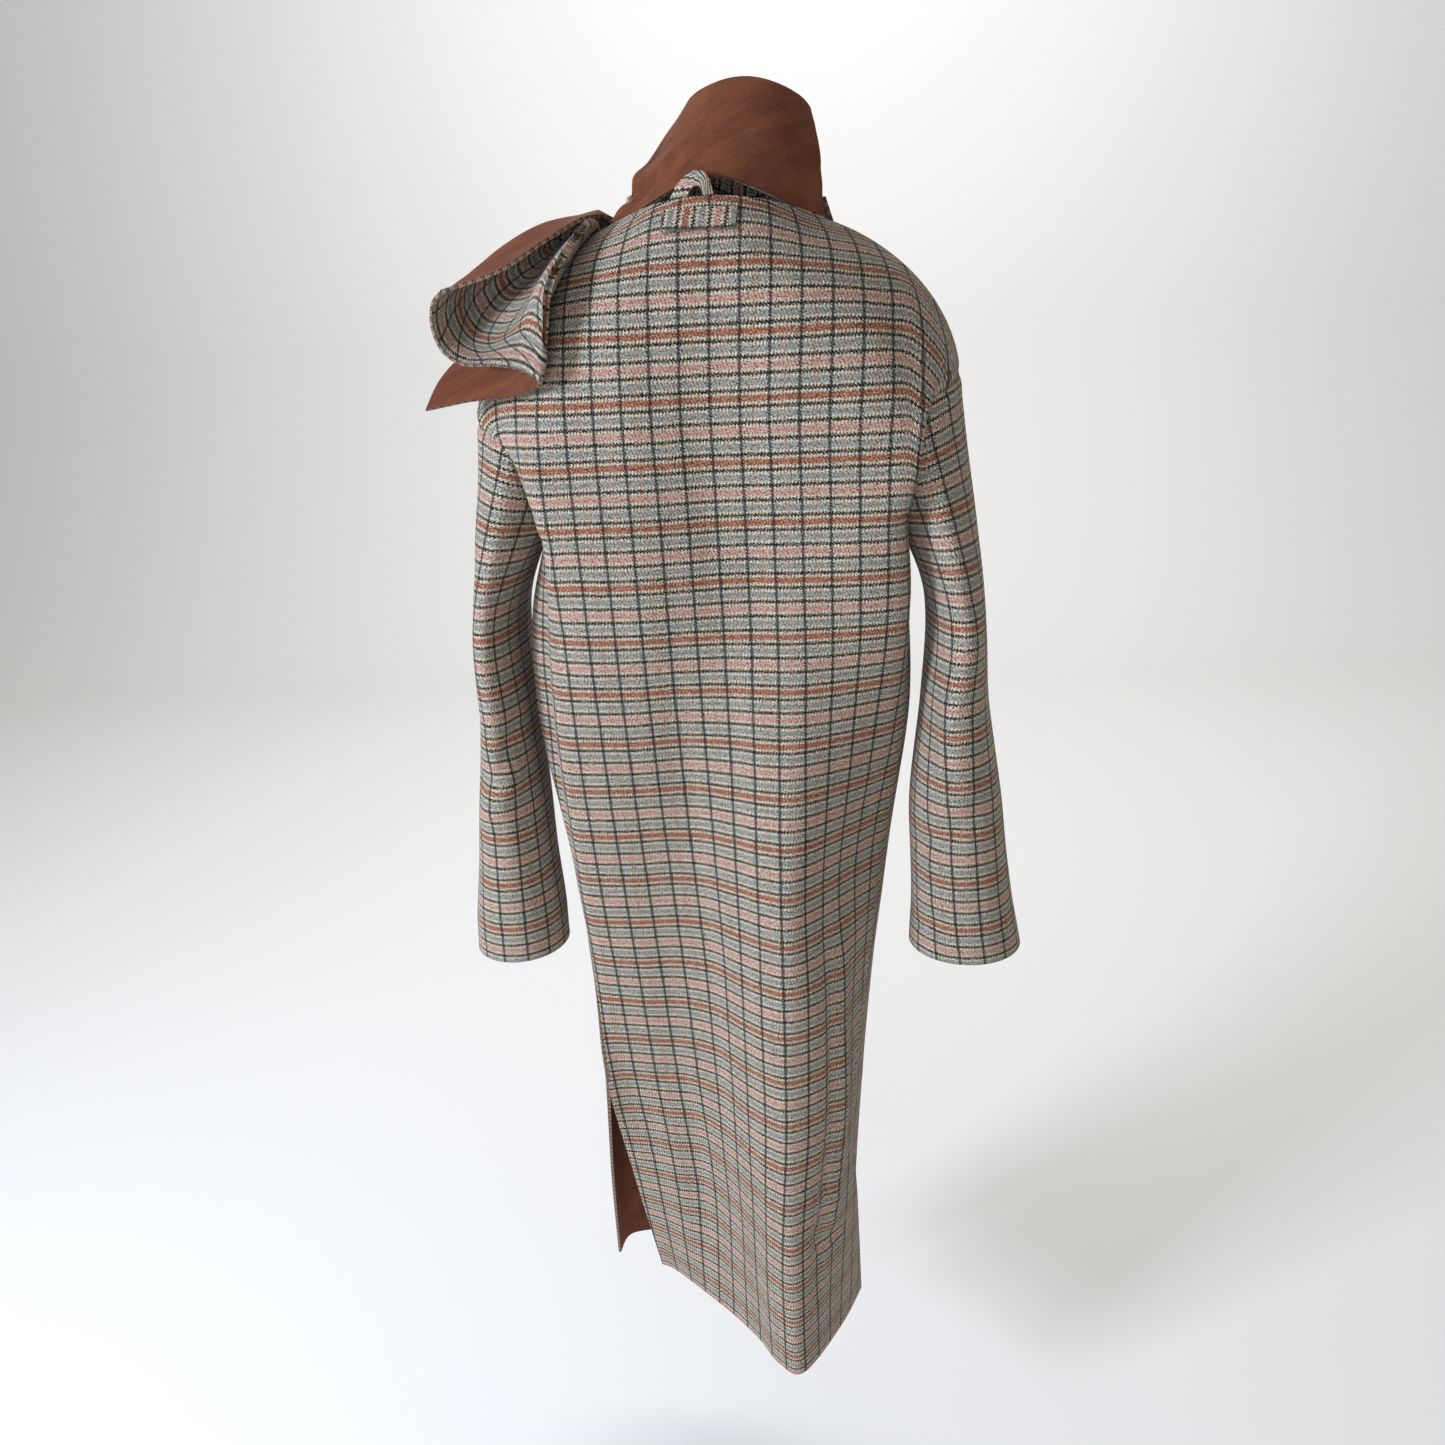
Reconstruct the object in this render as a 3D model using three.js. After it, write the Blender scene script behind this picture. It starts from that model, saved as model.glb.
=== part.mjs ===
import * as THREE from "three";

// A long double-faced coat with dropped shoulders, side slits and a scarf collar whose end is thrown
// over the left shoulder. It keeps the hollow form of a worn coat with nobody in it.
// Lengths are millimetres. +X is the wearer's left, +Y the wearer's back, +Z up.
// The origin is in the middle of the neck opening, level with its two shoulder points.

// Driving sizes
const WALL = 3.2; // two woven layers bound face to face
const SEAM_GAP = 0.3; // between two pieces that are sewn together
const BODY_LEVELS = 30; // spans from the neck edge down to the hem
const UNDERARM_LEVEL = 9; // the span where both armholes end
const SLIT_LEVEL = 22; // the span where both side slits start
const SHOULDER_SPANS = 4; // along each shoulder seam
const BACK_NECK_SPANS = 14; // between the two shoulder points, over the back
const FRONT_SPANS = 7; // from a shoulder point to a front edge
const SLEEVE_LEVELS = 15; // from the armhole down to the cuff
const SCARF_UP = 6; // from the lower to the upper edge of the wrap
const SCARF_ACROSS = 14; // over the width of the scarf's end
const SCARF_ALONG = 12; // over the length of the scarf's end
const BAND_ALONG = 14; // over the stretch across the front of the neck
const UNDER_ACROSS = 6; // over the layer under the scarf's end
const UNDER_ALONG = 9; // of the end's spans, how many have that layer under them

const CHECK = new THREE.Color("#8f8a83"); // the checked face seen from afar
const RUST = new THREE.Color("#8a4a2c"); // the plain reverse

// Catmull-Rom value of evenly spaced values at a position between 0 and the last one.
function smooth(values, at) {
  const last = values.length - 1;
  const low = Math.min(Math.max(Math.floor(at), 0), last - 1);
  const part = at - low;
  const before = values[Math.max(low - 1, 0)];
  const start = values[low];
  const end = values[low + 1];
  const after = values[Math.min(low + 2, last)];
  const leave = (end - before) / 2;
  const arrive = (after - start) / 2;
  const rise = end - start;
  const cubic = leave + arrive - 2 * rise;
  return start + part * (leave + part * (3 * rise - 2 * leave - arrive + part * cubic));
}

// Turns rows of numbers under named columns into one smooth function for each column.
function chart(columns, rows) {
  const table = { last: rows.length - 1 };
  columns.split(" ").forEach((column, k) => {
    const values = rows.map((row) => row[k]);
    table[column] = (at) => smooth(values, at);
  });
  return table;
}

// The two long edges of the back: armhole, side seam and slit edge. x, y and z of each side.
const BACK_EDGES = chart("rightX rightY rightZ leftX leftY leftZ", [
  [-214, -8, -133, 219, -8, -150], // shoulder end
  [-204, 28, -141, 211, 26, -158],
  [-184, 48, -152, 192, 46, -168],
  [-169, 54, -170, 178, 52, -184],
  [-161, 40, -206, 170, 38, -218],
  [-155, 14, -240, 168, 14, -248],
  [-155, -15, -252, 171, -15, -262], // underarm
  [-167, -12, -340, 190, -2, -340], // chest
  [-170, -15, -450, 193, -2, -450], // waist
  [-149, -28, -600, 173, -3, -600], // hip
  [-132, -28, -738, 165, -4, -738],
  [-113, 2, -888, 161, -2, -868], // top of the slits
  [-117, -14, -1040, 148, -40, -1040],
  [-121, -48, -1206, 131, -74, -1206], // hem
]);

// The back between those edges: its height at the centre, how the height falls to the edges and how
// round that fall is, the sideways sway, and five depths and two folds from the right side to the left.
const BACK = chart(
  "z fall round sway foldRX foldRY bladeR midR centre midL bladeL foldLX foldLY",
  [
    [13, 2.2, 0.55, -7, -172, -6, 2, 44, 60, 44, 2, 172, -6], // neck edge and shoulder seams
    [-4, 2.2, 0.6, -6, -174, 34, 42, 62, 67, 62, 42, 172, 32],
    [-36, 2.2, 0.7, -5, -174, 60, 74, 78, 78, 78, 74, 168, 56],
    [-84, 2.2, 0.82, -3, -172, 72, 84, 82, 82, 84, 86, 160, 70], // shoulder blades
    [-150, 2.1, 0.92, 0, -168, 73, 80, 76, 76, 82, 86, 152, 76],
    [-214, 1.6, 1, 0, -160, 70, 72, 68, 69, 76, 82, 147, 76],
    [-262, 1, 1, 0, -158, 64, 66, 62, 64, 72, 78, 146, 72], // underarm level
    [-340, 1, 1, 0, -162, 42, 60, 56, 56, 62, 68, 150, 58],
    [-450, 1, 1, 0, -150, 16, 61, 58, 48, 42, 50, 158, 44],
    [-600, 1, 1, 0, -124, 0, 64, 60, 46, 28, 28, 156, 24],
    [-738, 1, 1, 0, -100, 34, 68, 62, 46, 20, 13, 144, 6],
    [-878, 1, 1, 0, -94, 44, 76, 68, 50, 18, 3, 134, -6], // top of the slits
    [-1040, 1, 1, 0, -96, 30, 82, 74, 44, 8, -18, 124, -34],
    [-1206, 1, 1, 0, -96, 8, 74, 64, 33, 6, -20, 110, -64], // hem
  ],
);

// Share of the way from the centre to a side edge at which the mid and blade depths lie.
const MID_SHARE = 0.2;
const NECK_RIGHT_SHARE = 0.435;
const NECK_LEFT_SHARE = 0.425;

// The fronts between the same armholes and side seams: the neck dips at the centre, and the slit
// edges swing to the wearer's left.
const FRONT = chart(
  "z dip fall round sway foldRX foldRY chestR mid centre chestL foldLX foldLY",
  [
    [13, 84, 2.2, 0.55, -7, -172, -6, 2, -58, -84, 2, 172, -6], // neck edge and shoulder seams
    [-4, 84, 2.2, 0.6, -6, -172, -38, -34, -76, -92, -34, 172, -38],
    [-36, 74, 2.2, 0.7, -5, -170, -62, -66, -90, -100, -66, 170, -62],
    [-84, 54, 2.2, 0.82, -3, -166, -82, -90, -101, -106, -90, 168, -82],
    [-150, 28, 2.1, 0.92, 0, -162, -92, -106, -112, -115, -106, 166, -92],
    [-214, 8, 1.6, 1, 0, -160, -94, -113, -120, -122, -113, 166, -94],
    [-262, 0, 1, 1, 0, -160, -92, -115, -123, -125, -115, 168, -90], // underarm level
    [-340, 0, 1, 1, 0, -166, -70, -113, -124, -127, -112, 182, -66],
    [-450, 0, 1, 1, 0, -166, -66, -110, -122, -126, -110, 186, -62],
    [-600, 0, 1, 1, 2, -148, -74, -112, -122, -124, -108, 172, -70],
    [-738, 0, 1, 1, 5, -134, -80, -118, -124, -122, -112, 168, -78],
    [-878, 0, 1, 1, 9, -120, -60, -118, -130, -124, -122, 168, -72], // top of the slits
    [-1040, 0, 1, 1, 18, -110, -84, -118, -134, -126, -132, 178, -104],
    [-1206, 0, 1, 1, 28, -100, -104, -122, -138, -130, -140, 178, -128], // hem
  ],
);
const FRONT_SLITS = chart("rightX rightY rightZ leftX leftY leftZ", [
  [-113, 2, -888, 161, -2, -868], // top of the slits
  [-111, -38, -1040, 180, -54, -1040],
  [-108, -78, -1206, 191, -93, -1206], // hem
]);
const OVERLAP_STATION = 2 + (4 * FRONT_SPANS) / 9; // how far a front runs past the centre
const OVERLAP_COLUMN = SHOULDER_SPANS + 2; // where the under front lies fully below the upper one
const OVERLAP_CLEAR = 2; // between the two fronts

// Sleeves below the armhole: the middle and the half widths of each ring.
const SLEEVE_RIGHT = chart("z x y halfX halfY", [
  [-330, -214, -25, 27, 74], // upper arm
  [-440, -216, -24, 33, 69],
  [-540, -219, -22, 45, 62], // forearm
  [-640, -226, -20, 51, 57],
  [-700, -231, -20, 57, 54], // cuff
]);
const SLEEVE_LEFT = chart("z x y halfX halfY", [
  [-330, 222, -28, 21, 77],
  [-440, 227, -26, 25, 72],
  [-540, 233, -24, 35, 64],
  [-640, 238, -20, 45, 56],
  [-700, 241, -20, 49, 52],
]);
const ARMHOLE_AXIS = [-8, -15]; // the armhole's middle line, at the shoulder and under the arm

// The scarf's wrap round the neck: its upper edge is an oval that leans to the wearer's right.
const WRAP_TOP = { x: -37, y: -14, halfX: 53, halfY: 54 };
// Height of the upper edge, lift of the lower edge and its inward set, round from the left by the back.
const WRAP = chart("top lift inset", [
  [84, 0, 0.8], // left
  [93, 6, 2],
  [98, 17, 5], // back
  [89, 8, 3],
  [76, 0, 0.8], // right
  [58, 0, 0.9],
  [46, 0, 0.9], // front
  [60, 0, 0.8],
  [84, 0, 0.8], // left
]);
const WRAP_TUCK = 2; // how far the wrap's lower edge goes below the neck edge
const WRAP_SWELL = 3; // how far it stands out half way up
const NECK_MIDDLE = { x: -7, y: -12 }; // the middle of the neck opening

// The scarf's end over the left shoulder, a trough open to the back: lengthwise lines from its cut
// end to the front of the neck, from the upper long edge round to the fold at the back panel.
const END_LINES = [
  chart("x y z", [[215, 70, -45], [169, 61, -32], [133, 46, -11], [105, 20, 7], [92, -12, 12]]),
  chart("x y z", [[225, 70, -55], [185, 32, -23], [147, 6, 3], [117, -16, 13], [100, -32, 18]]),
  chart("x y z", [[227, 73, -73], [203, 26, -49], [165, -2, -21], [134, -26, 3], [117, -42, 10]]),
  chart("x y z", [[219, 78, -93], [195, 40, -77], [163, 14, -45], [141, -14, -15], [129, -36, -2]]),
  chart("x y z", [[200, 84, -105], [175, 60, -87], [149, 40, -55], [135, 4, -24], [129, -24, -10]]),
  chart("x y z", [[171, 89, -107], [153, 79, -85], [137, 64, -51], [123, 22, -19], [120, -12, -10]]),
  chart("x y z", [[147, 94, -111], [138, 90, -83], [127, 80, -45], [110, 34, -12], [107, -4, -4]]),
  chart("x y z", [[135, 96, -122], [126, 97, -89], [119, 92, -47], [99, 40, -3], [95, 2, 3]]),
];
// The layer under it, from its cut end up to the shoulder, from the fold out to the long edge.
const UNDER_LINES = [
  END_LINES[END_LINES.length - 1],
  chart("x y z", [[164, 80, -131], [149, 80, -105], [139, 72, -75], [121, 47, -36]]),
  chart("x y z", [[201, 74, -133], [185, 66, -108], [165, 55, -84], [135, 45, -45]]),
  chart("x y z", [[243, 66, -139], [229, 57, -114], [205, 38, -90], [151, 38, -59]]),
];
// The stretch across the front of the neck, from the right of the wrap to the start of that end.
const BAND_START = { top: [-102, -22, 29], bottom: [-124, -52, -47] };
const BAND_WAYS = [
  { top: [-84, -84, 17], bottom: [-103, -109, -85] },
  { top: [-20, -116, -3], bottom: [-12, -143, -123] },
  { top: [49, -97, 4], bottom: [69, -126, -84] },
];

// The strip sewn across the nape and the hanging loop above it.
const TAB = { level: 1, levels: 1, column: 9, columns: 5, clear: 0.4, wall: 2.4 };
const LOOP = { wall: 2.4, steps: 10, inside: 0.3 };
const LOOP_OUTER = chart("x z", [[23, 13.1], [17, 22], [9, 28], [0, 31], [-7, 27], [-11, 13.35]]);
const LOOP_INNER = chart("x z", [[9, 13.35], [7, 18], [4, 20], [1, 20.5], [-2, 19], [-4, 13.35]]);

const UNDERARM_ROW = 6; // of the body charts
const SLIT_ROW = 11;
const STATIONS = 8; // from the right side edge (0) over the centre (4) to the left side edge (8)
const MIDDLE = STATIONS / 2;

// Position in the charts of a level of the body grid.
function chartRow(level) {
  const { mapLinear } = THREE.MathUtils;
  if (level <= UNDERARM_LEVEL) return mapLinear(level, 0, UNDERARM_LEVEL, 0, UNDERARM_ROW);
  if (level <= SLIT_LEVEL) return mapLinear(level, UNDERARM_LEVEL, SLIT_LEVEL, UNDERARM_ROW, SLIT_ROW);
  return mapLinear(level, SLIT_LEVEL, BODY_LEVELS, SLIT_ROW, BACK.last);
}

// The side edges of the back at a chart row.
function backEdges(row) {
  return {
    right: new THREE.Vector3(BACK_EDGES.rightX(row), BACK_EDGES.rightY(row), BACK_EDGES.rightZ(row)),
    left: new THREE.Vector3(BACK_EDGES.leftX(row), BACK_EDGES.leftY(row), BACK_EDGES.leftZ(row)),
  };
}

// The side edges of the fronts: armhole mirrored about its middle line, the shared side seam, and
// slit edges of their own.
function frontEdges(row, level) {
  const edges = backEdges(row);
  if (level <= UNDERARM_LEVEL) {
    const axis = THREE.MathUtils.lerp(...ARMHOLE_AXIS, level / UNDERARM_LEVEL);
    edges.right.y = 2 * axis - edges.right.y;
    edges.left.y = 2 * axis - edges.left.y;
  } else if (level > SLIT_LEVEL) {
    const at = (FRONT_SLITS.last * (level - SLIT_LEVEL)) / (BODY_LEVELS - SLIT_LEVEL);
    edges.right.set(FRONT_SLITS.rightX(at), FRONT_SLITS.rightY(at), FRONT_SLITS.rightZ(at));
    edges.left.set(FRONT_SLITS.leftX(at), FRONT_SLITS.leftY(at), FRONT_SLITS.leftZ(at));
  }
  return edges;
}

// A point of a body section: stations run from the right edge to the left edge.
function sectionPoint(edges, folds, depths, shape, station) {
  const neck = (station - MIDDLE) / (MIDDLE / 2);
  const right = -edges.right.x;
  const left = edges.left.x;
  const across = [
    edges.right.x,
    folds.rightX,
    shape.sway - NECK_RIGHT_SHARE * right,
    shape.sway - MID_SHARE * right,
    shape.sway,
    shape.sway + MID_SHARE * left,
    shape.sway + NECK_LEFT_SHARE * left,
    folds.leftX,
    edges.left.x,
  ];
  const deep = [edges.right.y, folds.rightY, ...depths, folds.leftY, edges.left.y];
  const x = smooth(across, station);
  const edge = x < 0 ? edges.right : edges.left;
  const share = Math.min(Math.abs(x / edge.x), 1);
  const height = (1 - share ** shape.fall) ** shape.round;
  const dip = shape.dip * Math.max(0, 1 - neck * neck);
  const z = edge.z + (shape.z - edge.z) * height - dip;
  return new THREE.Vector3(x, smooth(deep, station), z);
}

function backPoint(level, station) {
  const row = chartRow(level);
  const folds = {
    rightX: BACK.foldRX(row),
    rightY: BACK.foldRY(row),
    leftX: BACK.foldLX(row),
    leftY: BACK.foldLY(row),
  };
  const depths = [BACK.bladeR(row), BACK.midR(row), BACK.centre(row), BACK.midL(row), BACK.bladeL(row)];
  const shape = {
    z: BACK.z(row),
    fall: BACK.fall(row),
    round: BACK.round(row),
    sway: BACK.sway(row),
    dip: 0,
  };
  return sectionPoint(backEdges(row), folds, depths, shape, station);
}

function frontPoint(level, station) {
  const row = chartRow(level);
  const folds = {
    rightX: FRONT.foldRX(row),
    rightY: FRONT.foldRY(row),
    leftX: FRONT.foldLX(row),
    leftY: FRONT.foldLY(row),
  };
  const mid = FRONT.mid(row);
  const depths = [FRONT.chestR(row), mid, FRONT.centre(row), mid, FRONT.chestL(row)];
  const shape = {
    z: FRONT.z(row),
    fall: FRONT.fall(row),
    round: FRONT.round(row),
    sway: FRONT.sway(row),
    dip: FRONT.dip(row),
  };
  return sectionPoint(frontEdges(row, level), folds, depths, shape, station);
}

// Fills a grid of points, one row for each level.
function grid(levels, columns, place) {
  const points = [];
  for (let level = 0; level <= levels; level += 1) {
    const row = [];
    for (let column = 0; column <= columns; column += 1) row.push(place(level, column));
    points.push(row);
  }
  return points;
}

// Outward normals of a grid; side is +1 or -1, and a round grid joins its last column to the first.
function gridNormals(points, side, round) {
  const levels = points.length - 1;
  const columns = points[0].length - 1;
  return grid(levels, columns, (level, column) => {
    const up = points[Math.max(level - 1, 0)][column];
    const down = points[Math.min(level + 1, levels)][column];
    const back = round && column === 0 ? columns - 1 : Math.max(column - 1, 0);
    const next = round && column === columns ? 1 : Math.min(column + 1, columns);
    const along = down.clone().sub(up);
    const across = points[level][next].clone().sub(points[level][back]);
    return along.cross(across).normalize().multiplyScalar(side);
  });
}

function cloth(name, points, side, round = false) {
  return { name, points, normals: gridNormals(points, side, round), round, wall: WALL };
}

// Sews pieces along a line: their walls get one shared normal there, and each edge is drawn back by
// half the gap. Every run lists its cells in the same order, and sides says which way each one lies.
function sew(runs, sides, orient, steady = false) {
  const count = runs[0].cells.length;
  const spots = runs[0].cells.map(([level, column]) => runs[0].piece.points[level][column].clone());
  const shared = spots.map((_, k) => {
    const sum = new THREE.Vector3();
    runs.forEach((run) => sum.add(run.piece.normals[run.cells[k][0]][run.cells[k][1]]));
    return sum.normalize();
  });
  const apart = spots.map((_, k) => {
    const along = spots[Math.min(k + 1, count - 1)].clone().sub(spots[Math.max(k - 1, 0)]);
    const normal = steady && k === 0 ? shared[1] : shared[k];
    return normal.clone().cross(along).normalize();
  });
  apart.forEach((way) => way.multiplyScalar(orient(way)));
  runs.forEach((run, r) => {
    run.cells.forEach(([level, column], k) => {
      run.piece.normals[level][column].copy(shared[k]);
      run.piece.points[level][column].addScaledVector(apart[k], (sides[r] * SEAM_GAP) / 2);
    });
  });
}

// Gives pieces that meet in one corner the same normal there.
function shareCorner(corners) {
  const sum = new THREE.Vector3();
  corners.forEach(([piece, level, column]) => sum.add(piece.normals[level][column]));
  sum.normalize();
  corners.forEach(([piece, level, column]) => piece.normals[level][column].copy(sum));
}

// Lets the last column of a round piece be its first one.
function closeRound(piece) {
  const columns = piece.points[0].length - 1;
  piece.points.forEach((row) => (row[columns] = row[0]));
  piece.normals.forEach((row) => (row[columns] = row[0]));
  return piece;
}

const SPLIT_WAY = new THREE.Vector3(0.37, 0.21, 1); // slanted, so that no two corners tie

// The closed wall between a piece's outer face and the same face set in by the wall.
function wallMesh(piece, material) {
  const levels = piece.points.length - 1;
  const columns = piece.points[0].length - 1;
  const spans = piece.round ? columns : columns + 1;
  const corners = [];
  for (const depth of [0, piece.wall]) {
    for (let level = 0; level <= levels; level += 1) {
      for (let column = 0; column < spans; column += 1) {
        const normal = piece.normals[level][column];
        corners.push(piece.points[level][column].clone().addScaledVector(normal, -depth));
      }
    }
  }
  const layer = (levels + 1) * spans;
  const outer = (level, column) => level * spans + (column % spans);
  const inner = (level, column) => layer + outer(level, column);
  const faces = [];
  const quad = (a, b, c, d) => faces.push(a, b, c, a, c, d);
  // A rim face is split the same way on both sides of a seam, from its corner that lies furthest up.
  const rim = (a, b) => {
    const [underA, underB] = [layer + a, layer + b];
    if (corners[a].dot(SPLIT_WAY) > corners[b].dot(SPLIT_WAY)) quad(a, b, underB, underA);
    else quad(b, underB, underA, a);
  };
  for (let level = 0; level < levels; level += 1) {
    for (let column = 0; column < columns; column += 1) {
      const next = column + 1;
      const down = level + 1;
      quad(outer(level, column), outer(down, column), outer(down, next), outer(level, next));
      quad(inner(level, column), inner(level, next), inner(down, next), inner(down, column));
    }
  }
  for (let column = 0; column < columns; column += 1) {
    const next = column + 1;
    rim(outer(0, column), outer(0, next));
    rim(outer(levels, next), outer(levels, column));
  }
  for (let level = 0; level < levels && !piece.round; level += 1) {
    const down = level + 1;
    rim(outer(down, 0), outer(level, 0));
    rim(outer(level, columns), outer(down, columns));
  }
  const geometry = new THREE.BufferGeometry();
  geometry.setAttribute("position", new THREE.Float32BufferAttribute(corners.flatMap((p) => p.toArray()), 3));
  geometry.setIndex(enclosedVolume(corners, faces) < 0 ? faces.reverse() : faces);
  geometry.computeVertexNormals();
  const mesh = new THREE.Mesh(geometry, material);
  mesh.name = piece.name;
  return mesh;
}

function enclosedVolume(corners, faces) {
  let volume = 0;
  for (let k = 0; k < faces.length; k += 3) {
    const [a, b, c] = [corners[faces[k]], corners[faces[k + 1]], corners[faces[k + 2]]];
    volume += a.dot(b.clone().cross(c)) / 6;
  }
  return volume;
}

// Stations of the body grid's columns, counted from a side edge.
function shoulderStation(column, spans, end) {
  const neck = MIDDLE / 2;
  if (column <= SHOULDER_SPANS) return (column * neck) / SHOULDER_SPANS;
  return neck + ((column - SHOULDER_SPANS) * (end - neck)) / spans;
}

function makeBack() {
  const columns = 2 * SHOULDER_SPANS + BACK_NECK_SPANS;
  const neckEnd = STATIONS - MIDDLE / 2;
  const points = grid(BODY_LEVELS, columns, (level, column) => {
    const mirrored = column > SHOULDER_SPANS + BACK_NECK_SPANS;
    const station = mirrored
      ? STATIONS - shoulderStation(columns - column, BACK_NECK_SPANS, neckEnd)
      : shoulderStation(column, BACK_NECK_SPANS, neckEnd);
    return backPoint(level, station);
  });
  return cloth("back", points, -1);
}

// A front from its side edge to its free edge; hand is -1 for the right one and +1 for the left one.
function makeFront(name, hand, back) {
  const columns = SHOULDER_SPANS + FRONT_SPANS;
  const backColumns = back.points[0].length - 1;
  const points = grid(BODY_LEVELS, columns, (level, column) => {
    if (level === 0 && column <= SHOULDER_SPANS) {
      return back.points[0][hand < 0 ? column : backColumns - column].clone();
    }
    const station = shoulderStation(column, FRONT_SPANS, OVERLAP_STATION);
    return frontPoint(level, hand < 0 ? station : STATIONS - station);
  });
  return cloth(name, points, -hand);
}

// Lets the under front sink below the upper one where they overlap.
function sinkUnderlap(front) {
  front.points.forEach((row, level) => {
    row.forEach((point, column) => {
      const share = THREE.MathUtils.smoothstep(column, SHOULDER_SPANS, OVERLAP_COLUMN);
      point.addScaledVector(front.normals[level][column], -(WALL + OVERLAP_CLEAR) * share);
    });
  });
}

// A sleeve from the armhole ring down to the cuff; hand is -1 for the right one and +1 for the left one.
function makeSleeve(name, hand, rings, back, front) {
  const around = 2 * UNDERARM_LEVEL;
  const backColumn = hand < 0 ? 0 : back.points[0].length - 1;
  const points = grid(SLEEVE_LEVELS, around, (level, column) => {
    const turn = (2 * Math.PI * column) / around;
    const armhole =
      column <= UNDERARM_LEVEL ? back.points[column][backColumn] : front.points[around - column][0];
    const at = (level * (rings.last + 1)) / SLEEVE_LEVELS;
    const place = (axis, half, wave) => {
      const values = [];
      for (let ring = 0; ring <= rings.last; ring += 1) {
        values.push(rings[axis](ring) + (half ? rings[half](ring) * wave : 0));
      }
      return smooth([armhole[axis], ...values], at);
    };
    const x = place("x", "halfX", hand * Math.cos(turn));
    return new THREE.Vector3(x, place("y", "halfY", Math.sin(turn)), place("z"));
  });
  return closeRound(cloth(name, points, hand, true));
}

// Sews a sleeve into the armhole between the back and a front.
function sewArmhole(hand, back, front, sleeve) {
  const around = 2 * UNDERARM_LEVEL;
  const backColumn = hand < 0 ? 0 : back.points[0].length - 1;
  shareCorner([[back, 0, backColumn], [front, 0, 0], [sleeve, 0, 0]]);
  shareCorner([
    [back, UNDERARM_LEVEL, backColumn],
    [front, UNDERARM_LEVEL, 0],
    [sleeve, 0, UNDERARM_LEVEL],
  ]);
  const steps = [...Array(UNDERARM_LEVEL + 1).keys()];
  const backRun = { piece: back, cells: steps.map((k) => [k, backColumn]) };
  const frontRun = { piece: front, cells: steps.map((k) => [k, 0]) };
  const sleeveBack = { piece: sleeve, cells: steps.map((k) => [0, k]) };
  const sleeveFront = { piece: sleeve, cells: steps.map((k) => [0, (around - k) % around]) };
  sew([backRun, sleeveBack], [-1, 1], () => -hand);
  sew([frontRun, sleeveFront], [-1, 1], () => hand);
}

// Sews the back to a front along the shoulder and down the side to the slit.
function sewBody(hand, back, front) {
  const towardsBack = (way) => Math.sign(way.y) || 1;
  const backColumns = back.points[0].length - 1;
  const backColumn = (column) => (hand < 0 ? column : backColumns - column);
  const shoulder = [...Array(SHOULDER_SPANS + 1).keys()];
  const side = [...Array(SLIT_LEVEL - UNDERARM_LEVEL + 1).keys()].map((k) => k + UNDERARM_LEVEL);
  sew(
    [
      { piece: back, cells: shoulder.map((k) => [0, backColumn(k)]) },
      { piece: front, cells: shoulder.map((k) => [0, k]) },
    ],
    [1, -1],
    towardsBack,
  );
  sew(
    [
      { piece: back, cells: side.map((k) => [k, backColumn(0)]) },
      { piece: front, cells: side.map((k) => [k, 0]) },
    ],
    [1, -1],
    towardsBack,
    true,
  );
}

// The scarf's wrap, which stands in the neck edge all round.
function makeWrap(back, frontRight, frontLeft) {
  const first = SHOULDER_SPANS;
  const backEnd = SHOULDER_SPANS + BACK_NECK_SPANS;
  const neckEdge = [];
  const take = (piece, column) => {
    neckEdge.push({ point: piece.points[0][column], normal: piece.normals[0][column] });
  };
  for (let column = SHOULDER_SPANS + FRONT_SPANS; column > first; column -= 1) take(frontLeft, column);
  for (let column = backEnd; column >= first; column -= 1) take(back, column);
  const meeting = frontLeft.points[0][SHOULDER_SPANS + FRONT_SPANS].x;
  for (let column = first + 1; frontRight.points[0][column].x < meeting; column += 1) {
    take(frontRight, column);
  }
  const columns = neckEdge.length;
  const points = grid(SCARF_UP, columns, (level, column) => {
    const { point, normal } = neckEdge[column % columns];
    const angle = Math.atan2(point.y - NECK_MIDDLE.y, point.x - NECK_MIDDLE.x);
    const turn = angle < 0 ? angle + 2 * Math.PI : angle;
    const at = (turn * WRAP.last) / (2 * Math.PI);
    const inward = new THREE.Vector3(-Math.cos(turn), -Math.sin(turn), 0);
    const rim = Math.max(0, -WALL * normal.dot(inward));
    const low = point.clone().addScaledVector(inward, rim + WRAP.inset(at));
    low.z += WRAP.lift(at) - WRAP_TUCK;
    const high = new THREE.Vector3(
      WRAP_TOP.x + WRAP_TOP.halfX * Math.cos(turn),
      WRAP_TOP.y + WRAP_TOP.halfY * Math.sin(turn),
      WRAP.top(at),
    );
    const drop = level / SCARF_UP;
    const swell = WRAP_SWELL * Math.sin(Math.PI * drop);
    return high.lerp(low, drop).addScaledVector(inward, -swell);
  });
  return closeRound(cloth("scarf_wrap", points, 1, true));
}

// A point on lengthwise lines: across counts lines, along runs from the cut end (0) to the last row.
function linesPoint(lines, across, along) {
  const value = (axis) => smooth(lines.map((line) => line[axis](along)), across);
  return new THREE.Vector3(value("x"), value("y"), value("z"));
}

function makeScarfEnd() {
  const across = (END_LINES.length - 1) / SCARF_ACROSS;
  const along = END_LINES[0].last / SCARF_ALONG;
  const points = grid(SCARF_ACROSS, SCARF_ALONG, (level, column) =>
    linesPoint(END_LINES, level * across, column * along),
  );
  return cloth("scarf_end", points, -1);
}

function makeScarfUnder() {
  const across = (UNDER_LINES.length - 1) / UNDER_ACROSS;
  const along = END_LINES[0].last / SCARF_ALONG;
  const points = grid(UNDER_ACROSS, UNDER_ALONG, (level, column) =>
    linesPoint(UNDER_LINES, level * across, column * along),
  );
  return cloth("scarf_under", points, -1);
}

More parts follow.
